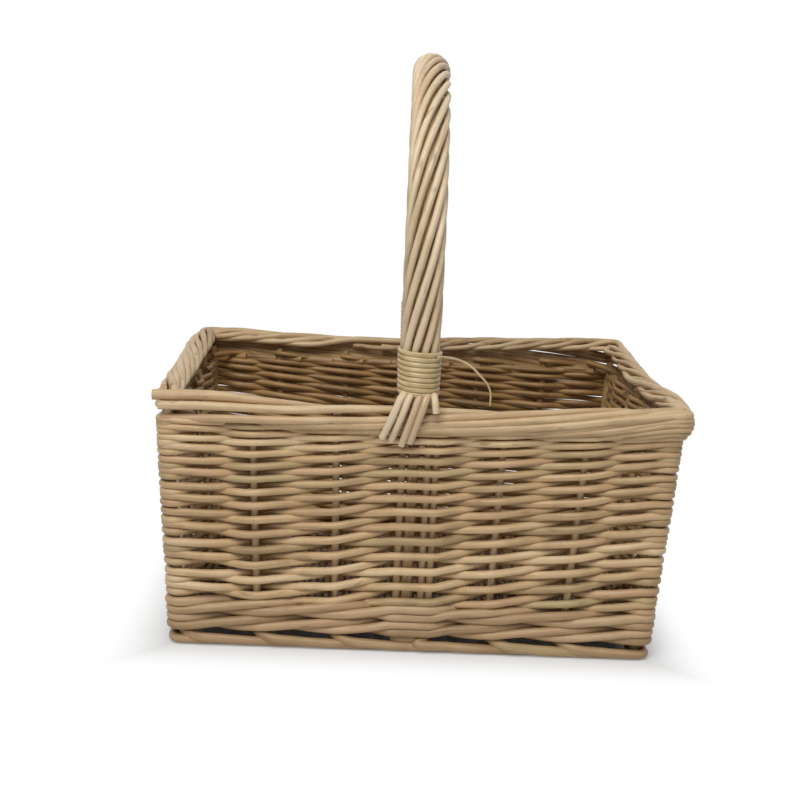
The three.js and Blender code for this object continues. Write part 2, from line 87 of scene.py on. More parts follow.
@dataclass(frozen=True)
class Wire:
    """An output socket of a node tree. Its operators add the nodes that work them out."""

    graph: "Graph"
    socket: bpy.types.NodeSocket

    @staticmethod
    def _is_vector(side: Any) -> bool:
        """Says whether a side of an operation is a vector."""
        return isinstance(side, tuple) or (isinstance(side, Wire) and side.socket.type == "VECTOR")

    def work(self, operation: str, first: Any, second: Any) -> "Wire":
        """Adds the node of an operation of wires, numbers or vectors and returns its result."""
        are_vectors = [self._is_vector(side) for side in (first, second)]
        if not any(are_vectors):
            return self.graph.pick(operation, first, second)
        inputs = {0: first, 1: second}
        if operation == "MULTIPLY" and not all(are_vectors):
            vector, scale = (first, second) if are_vectors[0] else (second, first)
            operation, inputs = "SCALE", {"Vector": vector, "Scale": scale}
        return self.graph.add("ShaderNodeVectorMath", inputs, operation=operation)

    __add__ = operator("ADD")
    __sub__ = operator("SUBTRACT")
    __rsub__ = operator("SUBTRACT", is_turned=True)
    __mul__ = operator("MULTIPLY")
    __truediv__ = operator("DIVIDE")
    __rtruediv__ = operator("DIVIDE", is_turned=True)

    def part(self, name: str) -> "Wire":
        """Another output of the same node."""
        return Wire(self.graph, self.socket.node.outputs[name])


class Graph:
    """A node tree, to which nodes are added by their type, inputs and settings."""

    def __init__(self, tree: bpy.types.NodeTree) -> None:
        """Keeps the tree and empties it."""
        self.tree = tree
        self.tree.nodes.clear()

    @staticmethod
    def _socket(sockets: Any, key: int | str) -> bpy.types.NodeSocket:
        """Finds a socket by its place, or the one in use by its name."""
        if isinstance(key, int):
            return sockets[key]
        return next(socket for socket in sockets if socket.name == key and socket.enabled)

    def add(
        self, kind: str, inputs: dict[int | str, Any] | None = None, output: int | str = 0, **settings: Any
    ) -> Wire | None:
        """Adds a node.

        Args:
            kind: The node's type.
            inputs: Values or wires for its sockets, by name or place.
            output: The output to return.
            settings: What the node is set to first.

        Returns:
            The output, or None where the node has none.
        """
        node = self.tree.nodes.new(kind)
        for name, value in settings.items():
            setattr(node, name, value)
        for key, value in (inputs or {}).items():
            socket = self._socket(node.inputs, key)
            if isinstance(value, Wire):
                self.tree.links.new(value.socket, socket)
            else:
                socket.default_value = value
        return Wire(self, self._socket(node.outputs, output)) if len(node.outputs) else None

    def ramp(self, share: Wire, colors: Sequence[Color]) -> Wire:
        """Blends evenly spaced colours by a share."""
        color = self.add("ShaderNodeValToRGB", {"Fac": share})
        stops = color.socket.node.color_ramp.elements
        while len(stops) < len(colors):
            stops.new(1.0)
        for i, stop in enumerate(stops):
            stop.position = i / (len(colors) - 1)
            stop.color = linear(colors[i])
        return color

    def mix(self, share: Any, first: Any, second: Any, blend: str = "MIX") -> Wire:
        """Lays a share of the second colour over the first."""
        inputs = {"Factor": share, "A": first, "B": second}
        return self.add("ShaderNodeMix", inputs, "Result", data_type="RGBA", blend_type=blend)

    def noise(self, where: Wire, scale: Any, detail: float = 2.0, roughness: float = 0.5) -> Wire:
        """Adds a noise texture on the given coordinates and returns its value."""
        inputs = {"Vector": where, "Scale": scale, "Detail": detail, "Roughness": roughness}
        return self.add("ShaderNodeTexNoise", inputs)

    def spread(self, value: Wire, low: float, high: float) -> Wire:
        """Spreads the values from low to high smoothly over 0 to 1."""
        inputs = {"Value": value, "From Min": low, "From Max": high}
        return self.add("ShaderNodeMapRange", inputs, interpolation_type="SMOOTHSTEP")

    def attribute(self, name: str, output: str = "Fac") -> Wire:
        """Reads what a mesh carries under a name."""
        return self.add("ShaderNodeAttribute", None, output, attribute_name=name)

    def split(self, vector: Wire) -> Wire:
        """Splits a vector. The wire is its X, and Y and Z are other parts."""
        return self.add("ShaderNodeSeparateXYZ", {"Vector": vector})

    def pick(self, operation: str, first: Any, second: Any) -> Wire:
        """Works out an operation of two numbers, such as the MAXIMUM."""
        return self.add("ShaderNodeMath", {0: first, 1: second}, operation=operation)


def new_material(name: str) -> tuple[bpy.types.Material, Graph]:
    """Makes a material, and the graph of its empty node tree."""
    material = bpy.data.materials.new(name)
    material.use_nodes = True
    return material, Graph(material.node_tree)


@dataclass(frozen=True)
class Pattern:
    """A noise on the grain: how it is stretched across and along the rods, and how fine and rough it is."""

    stretch: Triple
    scale: float
    detail: float = 2.0
    roughness: float = 0.5

    def on(self, graph: Graph, grain: Wire) -> Wire:
        """Adds the noise on a material's grain."""
        return graph.noise(grain * self.stretch, self.scale, self.detail, self.roughness)


@dataclass(frozen=True)
class Tint:
    """A colour that is laid over another as a value goes from start to full."""

    color: Color
    amount: float
    start: float
    full: float

    def over(self, graph: Graph, base: Wire, value: Wire) -> Wire:
        """Lays it over a base colour."""
        return graph.mix(graph.spread(value, self.start, self.full) * self.amount, base, linear(self.color))


@dataclass(frozen=True)
class PaintedShade:
    """Painted shade on the rods that face the inside of the basket or lie deep in its walls.

    Each range goes from where the rods are left unshaded to where the shade is painted in full.
    """

    # The colour that the painted shade multiplies in.
    tone: tuple[float, float, float, float] = (0.64, 0.53, 0.37, 1.0)
    half_length: float = 174 * MM  # of the walls' middle planes at the floor
    half_width: float = 124 * MM
    lean: float = 0.0637  # of the walls outwards, for each metre up
    corner: Pair = (-1 * MM, 1 * MM)  # from the long walls' side of a corner to the short walls'
    facing: Pair = (0.1, -0.4)
    depth: Pair = (-0.5 * MM, -3 * MM)
    height: Pair = (193 * MM, 183 * MM)

    def over(self, graph: Graph, base: Wire) -> Wire:
        """Paints the shade there, by darkening a base colour."""
        place = graph.add("ShaderNodeTexCoord", None, "Object")
        side = graph.add("ShaderNodeVectorMath", {0: place}, "Vector", operation="SIGN")
        normal = graph.split(graph.add("ShaderNodeNewGeometry", None, "Normal") * side)
        ahead = graph.split(place * side)
        height = ahead.part("Z")
        past_end = ahead - self.half_length - height * self.lean
        past_front = ahead.part("Y") - self.half_width - height * self.lean
        is_end = graph.spread(past_end - past_front, *self.corner)
        outward = normal * is_end + normal.part("Y") * (1 - is_end)
        past = graph.pick("MAXIMUM", past_end, past_front)
        # Painted shade: what faces the inside or lies deep in the walls is darkened, below the rim.
        unshaded = (1 - graph.spread(outward, *self.facing)) * (1 - graph.spread(past, *self.depth))
        share = (1 - unshaded) * graph.spread(height, *self.height)
        return graph.mix(share, base, self.tone, "MULTIPLY")


@dataclass(frozen=True)
class Finish(ABC):
    """A procedural finish, whose patterns run along each rod by the mesh's grain attribute."""

    name: str
    roughness: float
    unevenness: float  # of the roughness
    bump: float
    depth: float

    @abstractmethod
    def paint(self, graph: Graph, grain: Wire) -> tuple[Wire, Wire, Wire]:
        """Adds the patterns and returns the colour, the height and what the roughness follows."""

    def make(self) -> bpy.types.Material:
        """Builds the material."""
        material, graph = new_material(self.name)
        color, height, wear = self.paint(graph, graph.attribute("grain", "Vector"))
        bump = graph.add("ShaderNodeBump", {"Strength": self.bump, "Distance": self.depth, "Height": height})
        rough = (wear - 0.5) * self.unevenness + self.roughness
        inputs = {"Base Color": color, "Roughness": rough, "Normal": bump}
        shader = graph.add("ShaderNodeBsdfPrincipled", inputs)
        graph.add("ShaderNodeOutputMaterial", {"Surface": shader})
        return material


@dataclass(frozen=True)
class Willow(Finish):
    """Peeled and buffed willow. Each rod's own tone and hue choose among its colours."""

    roughness: float = 0.48
    unevenness: float = 0.3
    bump: float = 0.5
    depth: float = 0.25 * MM
    dark: Color = (142, 112, 76)
    middle: Color = (190, 160, 120)
    light: Color = (222, 198, 160)
    fibre: Pattern = Pattern((1.0, 1.0, 0.035), 1500.0, 3.0, 0.6)
    streak: Pattern = Pattern((1.0, 1.0, 0.06), 420.0, 2.0, 0.55)
    patch: Pattern = Pattern((0.25, 0.25, 1.0), 26.0, 3.0, 0.6)
    cloud: Pattern = Pattern((0.2, 0.2, 1.0), 9.0, 1.0)
    speck: Pattern = Pattern((0.7, 0.7, 0.16), 310.0, 1.0)
    blush: Tint = Tint((188, 148, 112), 0.45, 0.85, 1.25)
    moss: Tint = Tint((176, 158, 112), 0.7, 0.42, 0.12)
    fleck: Tint = Tint((96, 62, 30), 0.45, 0.67, 0.76)
    worn: Tint = Tint((96, 62, 30), 0.22, 0.5, 0.2)
    contrast: Pair = (0.3, 0.7)
    shares: Triple = (0.5, 0.25, 0.25)  # of the tone, the patches and the streaks in the shade
    clouding: Pair = (0.5, 0.4)  # of the blush and the moss
    relief: Pair = (0.6, 0.8)  # of the fibres and the streaks
    # Painted shade inside the basket and deep in its walls.
    painted_shade: PaintedShade = PaintedShade()

    def paint(self, graph: Graph, grain: Wire) -> tuple[Wire, Wire, Wire]:
        """Adds the rods' own tone and hue, then flecks and worn fibres, and then the painted shade inside the
        basket.
        """
        tone, hue = graph.attribute("tone"), graph.attribute("hue")
        patterns = (self.fibre, self.streak, self.patch, self.cloud, self.speck)
        fibre, streak, patch, cloud, speck = (pattern.on(graph, grain) for pattern in patterns)
        patched, streaked = (graph.spread(value, *self.contrast) for value in (patch, streak))
        by_tone, by_patch, by_streak = self.shares
        shade = tone * by_tone + patched * by_patch + streaked * by_streak
        color = graph.ramp(shade, (self.dark, self.middle, self.light))
        color = self.blush.over(graph, color, hue + cloud * self.clouding[0])
        color = self.moss.over(graph, color, hue + cloud * self.clouding[1])
        color = self.fleck.over(graph, color, speck)
        color = self.worn.over(graph, color, fibre)
        height = fibre * self.relief[0] + streak * self.relief[1]
        return self.painted_shade.over(graph, color), height, fibre


@dataclass(frozen=True)
class SplitCane(Finish):
    """Split cane with its glossy skin outside."""

    roughness: float = 0.32
    unevenness: float = 0.2
    bump: float = 0.4
    depth: float = 0.15 * MM
    dark: Color = (164, 134, 84)
    light: Color = (226, 205, 160)
    streak: Pattern = Pattern((1.0, 1.0, 0.03), 1400.0, 2.0, 0.6)
    patch: Pattern = Pattern((1.0, 1.0, 1.0), 60.0)
    contrast: Pair = (0.3, 0.7)

    def paint(self, graph: Graph, grain: Wire) -> tuple[Wire, Wire, Wire]:
        """Adds streaks and patches."""
        streak, patch = self.streak.on(graph, grain), self.patch.on(graph, grain)
        streaked, patched = (graph.spread(value, *self.contrast) for value in (streak, patch))
        color = graph.mix(streaked * 0.5 + patched * 0.5, linear(self.dark), linear(self.light))
        return color, streak, patch


class Look(Enum):
    """The finishes that the basket uses."""

    WALLS = Willow("buff willow", light=(232, 208, 166), middle=(202, 169, 125))
    RIM = Willow("rim willow", light=(228, 206, 168), middle=(200, 170, 128))
    ROPE = Willow("rope willow", light=(238, 222, 192), middle=(214, 190, 154))
    LOW = Willow("foot willow", light=(214, 188, 148), middle=(180, 150, 110))
    # The base's willow is painted darker than the walls': painted shade for the inside of the basket.
    SHADY = Willow("base willow", dark=(70, 50, 30), middle=(98, 74, 46), light=(126, 98, 64))
    CANE = SplitCane("split cane")


class GrowthTree(Graph):
    """A geometry node tree with named inputs, whose result is taken as a plain mesh."""

    KINDS = {int: "NodeSocketInt", float: "NodeSocketFloat", tuple: "NodeSocketVector"}

    def __init__(self, name: str, **values: Any) -> None:
        """Makes the tree and its inputs.

        Args:
            name: The tree's name.
            values: The first value of each input beside the geometry and the material.
        """
        super().__init__(bpy.data.node_groups.new(name, "GeometryNodeTree"))
        self.identifiers: dict[str, str] = {}
        self._socket_for("geometry", "NodeSocketGeometry", "OUTPUT")
        self._socket_for("geometry", "NodeSocketGeometry")
        for label, value in values.items():
            self._socket_for(label, self.KINDS[type(value)]).default_value = value
        self._socket_for("material", "NodeSocketMaterial")
        self.entry = self.add("NodeGroupInput")

    def _socket_for(self, label: str, kind: str, side: str = "INPUT") -> bpy.types.NodeTreeInterfaceSocket:
        """Adds a socket to the tree's interface."""
        socket = self.tree.interface.new_socket(label, in_out=side, socket_type=kind)
        self.identifiers[label] = socket.identifier
        return socket

    def store(self, geometry: Wire, name: str, value: Any, kind: str = "FLOAT") -> Wire:
        """Stores a value on the geometry's points under a name and returns the geometry."""
        inputs = {"Geometry": geometry, "Name": name, "Value": value}
        return self.add("GeometryNodeStoreNamedAttribute", inputs, data_type=kind, domain="POINT")

    def read(self, name: str, kind: str = "FLOAT") -> Wire:
        """Reads what the points carry under a name."""
        return self.add("GeometryNodeInputNamedAttribute", {"Name": name}, "Attribute", data_type=kind)

    def sweep(self, curve: Wire, profile: Wire, thick: Wire | float) -> Wire:
        """Sweeps a profile along curves that carry their length as along, and stores the grain to follow.

        Args:
            curve: The curves.
            profile: The profile, of radius 1 where thick is the rod's radius.
            thick: How much the profile is enlarged.

        Returns:
            The closed mesh, smooth along its length, with flat ends.
        """
        marked = self.store(profile, "round", self.add("GeometryNodeInputPosition"), "FLOAT_VECTOR")
        inputs = {"Curve": curve, "Profile Curve": marked, "Scale": thick, "Fill Caps": True}
        tube = self.add("GeometryNodeCurveToMesh", inputs)
        along = self.add("ShaderNodeCombineXYZ", {"Z": self.read("along")})
        grain = self.read("round", "FLOAT_VECTOR") * thick + along
        grained = self.store(tube, "grain", grain, "FLOAT_VECTOR")
        # Only the flat ends have more than four corners.
        sides = {"A": self.add("GeometryNodeInputMeshFaceNeighbors", None, "Vertex Count"), "B": 4}
        is_end = self.add("FunctionNodeCompare", sides, data_type="INT", operation="GREATER_THAN")
        smooth = self.add("GeometryNodeSetShadeSmooth", {"Geometry": grained, "Shade Smooth": True})
        ends = {"Geometry": smooth, "Selection": is_end, "Shade Smooth": False}
        return self.add("GeometryNodeSetShadeSmooth", ends)

    def circle(self, sides: Any) -> Wire:
        """A round profile of radius 1."""
        return self.add("GeometryNodeCurvePrimitiveCircle", {"Resolution": sides, "Radius": 1.0})

    def round_skin(self, curve: Wire) -> Wire:
        """Gives curves a slightly lumpy round skin, whose radius they carry as thick."""
        thick = self.read("thick")
        tube = self.sweep(curve, self.circle(self.entry.part("sides")), thick)
        grain = self.read("grain", "FLOAT_VECTOR")
        lump = self.noise(grain, 1.0 / self.entry.part("lump_length"), 1.0)
        push = (lump - 0.5) * thick * self.entry.part("lumps")
        offset = self.add("GeometryNodeInputNormal", None, "Normal") * push
        return self.add("GeometryNodeSetPosition", {"Geometry": tube, "Offset": offset})

    def close(self, geometry: Wire) -> None:
        """Ends the tree with real geometry and its material."""
        real = self.add("GeometryNodeRealizeInstances", {"Geometry": geometry})
        inputs = {"Geometry": real, "Material": self.entry.part("material")}
        self.add("NodeGroupOutput", {"geometry": self.add("GeometryNodeSetMaterial", inputs)})

    def grow(self, name: str, seed_mesh: bpy.types.Mesh, **values: Any) -> bpy.types.Object:
        """Runs the tree on a mesh.

        Args:
            name: The finished piece's name.
            seed_mesh: What the tree starts from.
            values: The material, and the inputs that differ from their first values.

        Returns:
            The piece, as a plain mesh without a modifier.
        """
        piece = link(name, seed_mesh)
        modifier = piece.modifiers.new("growth", "NODES")
        modifier.node_group = self.tree
        for label, value in values.items():
            modifier[self.identifiers[label]] = value
        depsgraph = bpy.context.evaluated_depsgraph_get()
        grown = bpy.data.meshes.new_from_object(
            piece.evaluated_get(depsgraph), preserve_all_data_layers=True, depsgraph=depsgraph
        )
        piece.modifiers.remove(modifier)
        piece.data = grown
        grown.name = name
        bpy.data.meshes.remove(seed_mesh)
        return piece


@dataclass
class Rod:
    """One rod: its middle line, its radius at each point, and its place in the bundle's range of colours."""

    line: np.ndarray
    radii: np.ndarray
    tone: float
    hue: float


class RodSkin(GrowthTree):
    """The tree that turns middle lines into round willow rods."""

    GRAIN_SHIFT = 7.0  # metres of grain from hue 0 to hue 1, so that no two rods carry the same

    def __init__(self) -> None:
        """Builds the tree, from the middle lines to the finished skin."""
        super().__init__("rod skin", sides=12, lumps=0.22, lump_length=22 * MM)
        curve = self.add("GeometryNodeMeshToCurve", {"Mesh": self.entry.part("geometry")})
        self.close(self.round_skin(curve))

    def dress(self, name: str, rods: Sequence[Rod], material: bpy.types.Material) -> bpy.types.Object:
        """Makes one piece of some rods, each of which becomes a closed body, and returns it."""
        mesh = bpy.data.meshes.new(name + " lines")
        counts = [len(rod.line) for rod in rods]
        starts = np.cumsum([0] + counts[:-1])
        edges = [(first + i, first + i + 1) for first, n in zip(starts, counts) for i in range(n - 1)]
        mesh.from_pydata(np.concatenate([rod.line for rod in rods]).tolist(), edges, [])
        along = []
        for rod in rods:
            steps = np.linalg.norm(np.diff(rod.line, axis=0), axis=1)
            along.append(np.concatenate([[0.0], np.cumsum(steps)]) + self.GRAIN_SHIFT * rod.hue)
        columns = {
            "thick": np.concatenate([rod.radii for rod in rods]),
            "along": np.concatenate(along),
            "tone": np.repeat([rod.tone for rod in rods], counts),
            "hue": np.repeat([rod.hue for rod in rods], counts),
        }
        for label, column in columns.items():
            mesh.attributes.new(label, "FLOAT", "POINT").data.foreach_set("value", column.astype(np.float32))
        return self.grow(name, mesh, material=material)


class Shop:
    """The place where pieces get their skin and their finish and are tied to the frame."""

    def __init__(self) -> None:
        """Builds the skin's tree and the materials."""
        self.skin = RodSkin()
        self.materials = {look: look.value.make() for look in Look}

    @staticmethod
    def settle(piece: bpy.types.Object, slot: str, *nodes: str) -> None:
        """Ties a finished piece to the frame and hides the nodes it stands for."""
        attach(piece, BODY)
        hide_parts(*nodes)
        LOG.info("%s: %d faces, stands for %s", piece.name, len(piece.data.polygons), ", ".join(nodes))

    def lay(self, name: str, rods: Sequence[Rod], look: Look, slot: str, *nodes: str) -> None:
        """Makes a piece of rods and settles it."""
        self.settle(self.skin.dress(name, rods, self.materials[look]), slot, *nodes)


class Work(ABC):
    """A part of the basket that is made of one or more pieces."""

    @abstractmethod
    def build(self, shop: Shop) -> None:
        """Makes its pieces with what the shop has."""


def node_points(*names: str) -> np.ndarray:
    """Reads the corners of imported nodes, one in each row."""
    meshes = [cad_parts[name].data for name in names]
    points = [np.empty(3 * len(mesh.vertices)) for mesh in meshes]
    for mesh, flat in zip(meshes, points):
        mesh.vertices.foreach_get("co", flat)
    return np.concatenate(points).reshape(-1, 3)


def ends_of(*names: str) -> tuple[np.ndarray, np.ndarray]:
    """Finds the middles of the lower and the upper ends of packed uprights."""
    points = node_points(*names)
    is_low = points[:, 2] < (points[:, 2].min() + points[:, 2].max()) / 2
    return points[is_low].mean(axis=0), points[~is_low].mean(axis=0)


def unit(way: np.ndarray) -> np.ndarray:
    """Makes a direction one long."""
    return way / np.linalg.norm(way)


@dataclass
class Knot:
    """A point that a rod passes, and its heading there where that is known."""

    point: np.ndarray
    heading: np.ndarray | None = None


def smooth_line(knots: Sequence[Knot], step: float = 3.5 * MM) -> np.ndarray:
    """Bends a rod through its knots.

    Args:
        knots: The knots, in order along the rod.
        step: The length of its straight steps, about.

    Returns:
        The points of its middle line, one in each row.
    """
    points = np.array([knot.point for knot in knots])
    chords = np.linalg.norm(np.diff(points, axis=0), axis=1)
    ways = np.diff(points, axis=0) / chords[:, None]
    headings = np.empty_like(points)
    headings[0] = ways[0]
    headings[-1] = ways[-1]
    headings[1:-1] = ways[:-1] * chords[1:, None] + ways[1:] * chords[:-1, None]
    for i, knot in enumerate(knots):
        headings[i] = unit(headings[i] if knot.heading is None else knot.heading)
    pieces = []
    for i, chord in enumerate(chords):
        t = np.linspace(0, 1, max(2, round(chord / step)), endpoint=False)[:, None]
        near = (2 * t**3 - 3 * t**2 + 1) * points[i] + (t**3 - 2 * t**2 + t) * chord * headings[i]
        far = (3 * t**2 - 2 * t**3) * points[i + 1] + (t**3 - t**2) * chord * headings[i + 1]
        pieces.append(near + far)
    return np.concatenate([*pieces, points[-1:]])


class Stand(Enum):
    """What stands at a place of the walls, by the radius of its rods."""

    POST = 3.8 * MM
    STAKE = 2.9 * MM
    GROUP = 2.95 * MM


@dataclass(frozen=True)
class Upright:
    """One upright of the walls, or one group of them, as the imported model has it."""

    stand: Stand
    nodes: tuple[str, ...]
    foot: np.ndarray
    head: np.ndarray

    def at(self, height: float) -> np.ndarray:
        """Its middle at a height."""
        share = (height - self.foot[2]) / (self.head[2] - self.foot[2])
        return self.foot + (self.head - self.foot) * share


class Ring:
    """The uprights in order round the basket, from the front left post along the front.

    A place on it is a number of uprights, such as 2.5 for the middle between the second and the third.
    """

    WALLS = (("front", 5), ("right", 3), ("back", 5), ("left", 3))
    GROUP_PLACE = 3
    GROUP_HALF_SPAN = 12.4 * MM
    UP = np.array([0.0, 0.0, 1.0])
    NEAR = 1e-3  # how close to an upright a place is on it
    CORNER_MARGIN = 0.02
    INNER_TURN = 1.2  # how much further in a rod turns inside a post

    def __init__(self) -> None:
        """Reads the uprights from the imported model."""
        self.uprights: list[Upright] = []
        for wall, stake_count in self.WALLS:
            self._stand(Stand.POST, f"{wall}_left_post")
            for i in range(1, stake_count + 1):
                if stake_count == 5 and i == self.GROUP_PLACE:
                    liners = [f"{wall}_liner_{side}_{n}" for side in ("left", "right") for n in (1, 2)]
                    self._stand(Stand.GROUP, *liners)
                else:
                    self._stand(Stand.STAKE, f"{wall}_stake_{i}")
        self.posts = [i for i, upright in enumerate(self.uprights) if upright.stand is Stand.POST]
        self.count = len(self.uprights)

    def _stand(self, stand: Stand, *nodes: str) -> None:
        """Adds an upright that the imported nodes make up."""
        self.uprights.append(Upright(stand, nodes, *ends_of(*nodes)))

    def upright(self, place: int) -> Upright:
        """The upright at a whole place."""
        return self.uprights[place % self.count]

    def along(self, place: int) -> np.ndarray:
        """The way along the wall that goes on from a whole place."""
        place %= self.count
        start = max(post for post in self.posts if post <= place)
        end = self.posts[(self.posts.index(start) + 1) % len(self.posts)]
        way = self.uprights[end].foot - self.uprights[start].foot
        way[2] = 0.0
        return unit(way)

    def outwards(self, place: int) -> np.ndarray:
        """The way out of that wall."""
        return np.cross(self.along(place), self.UP)

    def knots(self, place: float, out: float, height: float) -> list[Knot]:
        """Places a rod.

        Args:
            place: Where it is on the ring.
            out: How far its middle is outside the uprights' middles, or inside where that is below 0.
            height: How high its middle is.

        Returns:
            One knot, or several where it turns round an upright.
        """
        before = math.floor(place + 1e-6)
        share = place - before
        upright = self.upright(before)
        away = self.outwards(before) * out
        along = self.along(before)
        middle = upright.at(height)
        if share > self.NEAR:
            after = self.upright(before + 1).at(height)
            return [Knot(middle + (after - middle) * share + away)]
        if upright.stand is Stand.GROUP:
            span = along * self.GROUP_HALF_SPAN
            return [Knot(middle - span + away, along), Knot(middle + span + away, along)]
        if upright.stand is Stand.STAKE:
            return [Knot(middle + away)]
        along_before = self.along(before - 1)
        out_before = self.outwards(before - 1)
        across = unit(out_before + self.outwards(before))
        turning = unit(along_before + along)
        if out <= 0:
            return [Knot(middle + across * out * self.INNER_TURN, turning)]
        return [
            Knot(middle + out_before * out, along_before),
            Knot(middle + across * out, turning),
            Knot(middle + away, along),
        ]

    def route(self, stations: Sequence[Station]) -> list[Knot]:
        """Places a rod that goes through stations, and turns it round the corners between them.

        Args:
            stations: The place, the way out and the height of each.

        Returns:
            The knots.
        """
        knots: list[Knot] = []
        for station, following in zip(stations, stations[1:]):
            knots += self.knots(*station)
            first, last = station[0] + self.CORNER_MARGIN, following[0] - self.CORNER_MARGIN
            for corner in range(math.ceil(first), math.ceil(last)):
                if corner % self.count in self.posts:
                    share = (corner - station[0]) / (following[0] - station[0])
                    out, height = (station[n] + (following[n] - station[n]) * share for n in (1, 2))
                    knots += self.knots(corner, out, height)
        return knots + self.knots(*stations[-1])


@dataclass
class Bundle:
    """Willow rods that are drawn one after another at random from the same pile."""

    seed: int
    tone: float = 0.5  # from 0, dark, to 1, light
    spread: float = 0.2  # of the tones
    thick_spread: float = 0.06  # of the radii, as a share
    hue_spread: float = 0.5

    def __post_init__(self) -> None:
        """Starts its chance."""
        self.chance = random.Random(self.seed)

    def jitter(self, reach: float) -> float:
        """A chance offset of up to reach either way."""
        return self.chance.uniform(-reach, reach)

    def rod(
        self, knots: Sequence[Knot], radius: float, butt: float = 1.0, tip: float = 1.0, ease: float = 1.0
    ) -> Rod:
        """Bends the next rod through its knots.

        Args:
            knots: The knots.
            radius: Its radius before chance and taper.
            butt: What share of that it has at its first knot.
            tip: What share of that it has at its last knot.
            ease: Above 1 where it tapers mostly towards its tip.

        Returns:
            The rod.
        """
        line = smooth_line(knots)
        size = radius * (1 + self.jitter(self.thick_spread))
        radii = size * (butt + (tip - butt) * np.linspace(0, 1, len(line)) ** ease)
        tone = min(1.0, max(0.0, self.chance.gauss(self.tone, self.spread)))
        return Rod(line, radii, tone, 0.5 + self.jitter(self.hue_spread))


@dataclass
class Randing(Work):
    """The walls, in English randing: one weaver begins behind each upright and climbs round the basket.

    At each level it passes inside one upright and outside the next, and then it rises to the next level.
    Every rod passes outside the corner posts, and one whose turn is inside goes in close on either side.
    """

    ring: Ring
    # In millimetres: the levels' heights, how far above them the rods lie at each upright, mostly in the
    # lower courses, and how much the topmost level is raised there to follow the rim.
    levels: tuple[float, ...] = (
        41.5, 53.8, 66.1, 78.2, 90.2, 101.8, 112.7, 123.3, 133.5, 143.5, 152.9, 161.0, 167.8, 173.6, 178.4
    )
    lifts: tuple[float, ...] = (6, -0.5, -2.5, -1, -0.5, 2.5, 3, 1, 0, 1, 3, -1, -2, -1, -0.5, 2, 3, 1, 1, 3)
    crowns: tuple[float, ...] = (0, 0, 0, 0, 0, 0, 3.5, 6, 3.5, 3, 5, 4, 3, 1.5, 0.5, 0, 0, 0, 0, 0)
    # How far the rod inside an upright lies below the one outside, as a share of the step between levels, and
    # how many millimetres less on the back wall. From the camera it then shows midway between the outer ones.
    sinks: tuple[float, ...] = (0.5, 0.74, 0.54, 0.54, 0.54, 0.62) + (0.5,) * 14
    back_rise: float = 2.4
    back: tuple[int, int] = (10, 16)  # the back wall's corner posts
    post_lift: float = 1.7 * MM  # of the rods that go in beside a post of the back wall
    post_spread: float = 1.2  # millimetres up and down, by turns, of the rods outside a post
    tip_rise: float = 2.5 * MM  # of the tips that end on the back wall
    tip_lead: float = 0.07
    butt_lead: float = 0.12
    turn_in: float = 0.33  # how far from a post a rod goes in, as a share of the way to the next upright
    inset: float = 0.8  # how far it goes in there, in radii
    group_share: float = 0.21  # of the way to the next upright that a group takes up
    # Points on the way from a post, to a post and between others: shares of the way and of the way out.
    from_post: tuple[Pair, ...] = ((0.45, 0.75), (0.74, 0.0))
    to_post: tuple[Pair, ...] = ((0.26, 0.0), (0.55, 0.75))
    crossing: tuple[Pair, ...] = ((0.3, 0.42), (0.7, -0.42))
    fade: float = 0.6  # of the lifts up to the topmost level
    radius: float = 3.08 * MM
    tip: float = 0.72
    ease: float = 2.2
    gap: float = 0.1 * MM
    wobble: float = 0.4 * MM  # up and down by chance
    sway: float = 0.2 * MM  # in and out by chance

    def __post_init__(self) -> None:
        """Finds the topmost level and starts the pile of rods."""
        self.top = len(self.levels) - 1
        self.bundle = Bundle(11, spread=0.24, thick_spread=0.05)

    def height(self, level: int, place: int, is_outside: bool) -> float:
        """The height of a level's weaver outside or inside an upright."""
        number = place % self.ring.count
        lift = self.lifts[number]
        if self.ring.upright(place).stand is Stand.POST:
            lift += self.post_spread if level % 2 == 0 else -self.post_spread
        step = self.levels[max(level, 1)] - self.levels[max(level, 1) - 1]
        sink = 0.0 if is_outside else self.sinks[number] * step
        if self.back[0] < number < self.back[1]:
            sink = max(sink - self.back_rise, 0.0)
        lift = lift * (1 - self.fade * level / self.top) + self.crowns[number] * level / self.top
        return (self.levels[level] + lift - sink) * MM

    def _way_over(self, place: int, is_outside: bool, away: float, heights: Sequence[float]) -> list[Knot]:
        """Leads a weaver nearly straight from one upright to the next, on whose other side it goes.

        Args:
            place: The upright that it comes from.
            is_outside: Whether it is outside that one.
            away: How far its middle is from the uprights' middles there.
            heights: Its heights at the two.

        Returns:
            The knots between them.
        """
        stands = [self.ring.upright(place + i).stand for i in range(2)]
        if stands[0] is Stand.POST:
            shares = self.from_post if is_outside else ()
        elif stands[1] is Stand.POST:
            shares = () if is_outside else self.to_post
        else:
            shares = self.crossing if is_outside else [(share, -out) for share, out in self.crossing]
        lead, tail = (self.group_share if stand is Stand.GROUP else 0.0 for stand in stands)
        knots = []
        for share, out in shares:
            share += self.bundle.jitter(0.04)
            height = heights[0] + (heights[1] - heights[0]) * share
            knots += self.ring.knots(place + lead + (1 - lead - tail) * share, out * away, height)
        return knots

    def _round_post(self, place: int, away: float, radius: float, heights: Sequence[float]) -> list[Knot]:
        """Leads a weaver in, out round a post and in again, by its heights before, at and after the post."""
        knots: list[Knot] = []
        for side in (-1, 0, 1):
            share = side * self.turn_in + self.bundle.jitter(0.03)
            if side:
                level = heights[1] + (heights[1 + side] - heights[1]) * abs(share)
                if self.back[0] < (place + share) % self.ring.count < self.back[1]:
                    level += self.post_lift
                knots += self.ring.knots(place + share, -self.inset * radius, level)
            elif away:
                knots += self.ring.knots(place, away, heights[1])
        return knots

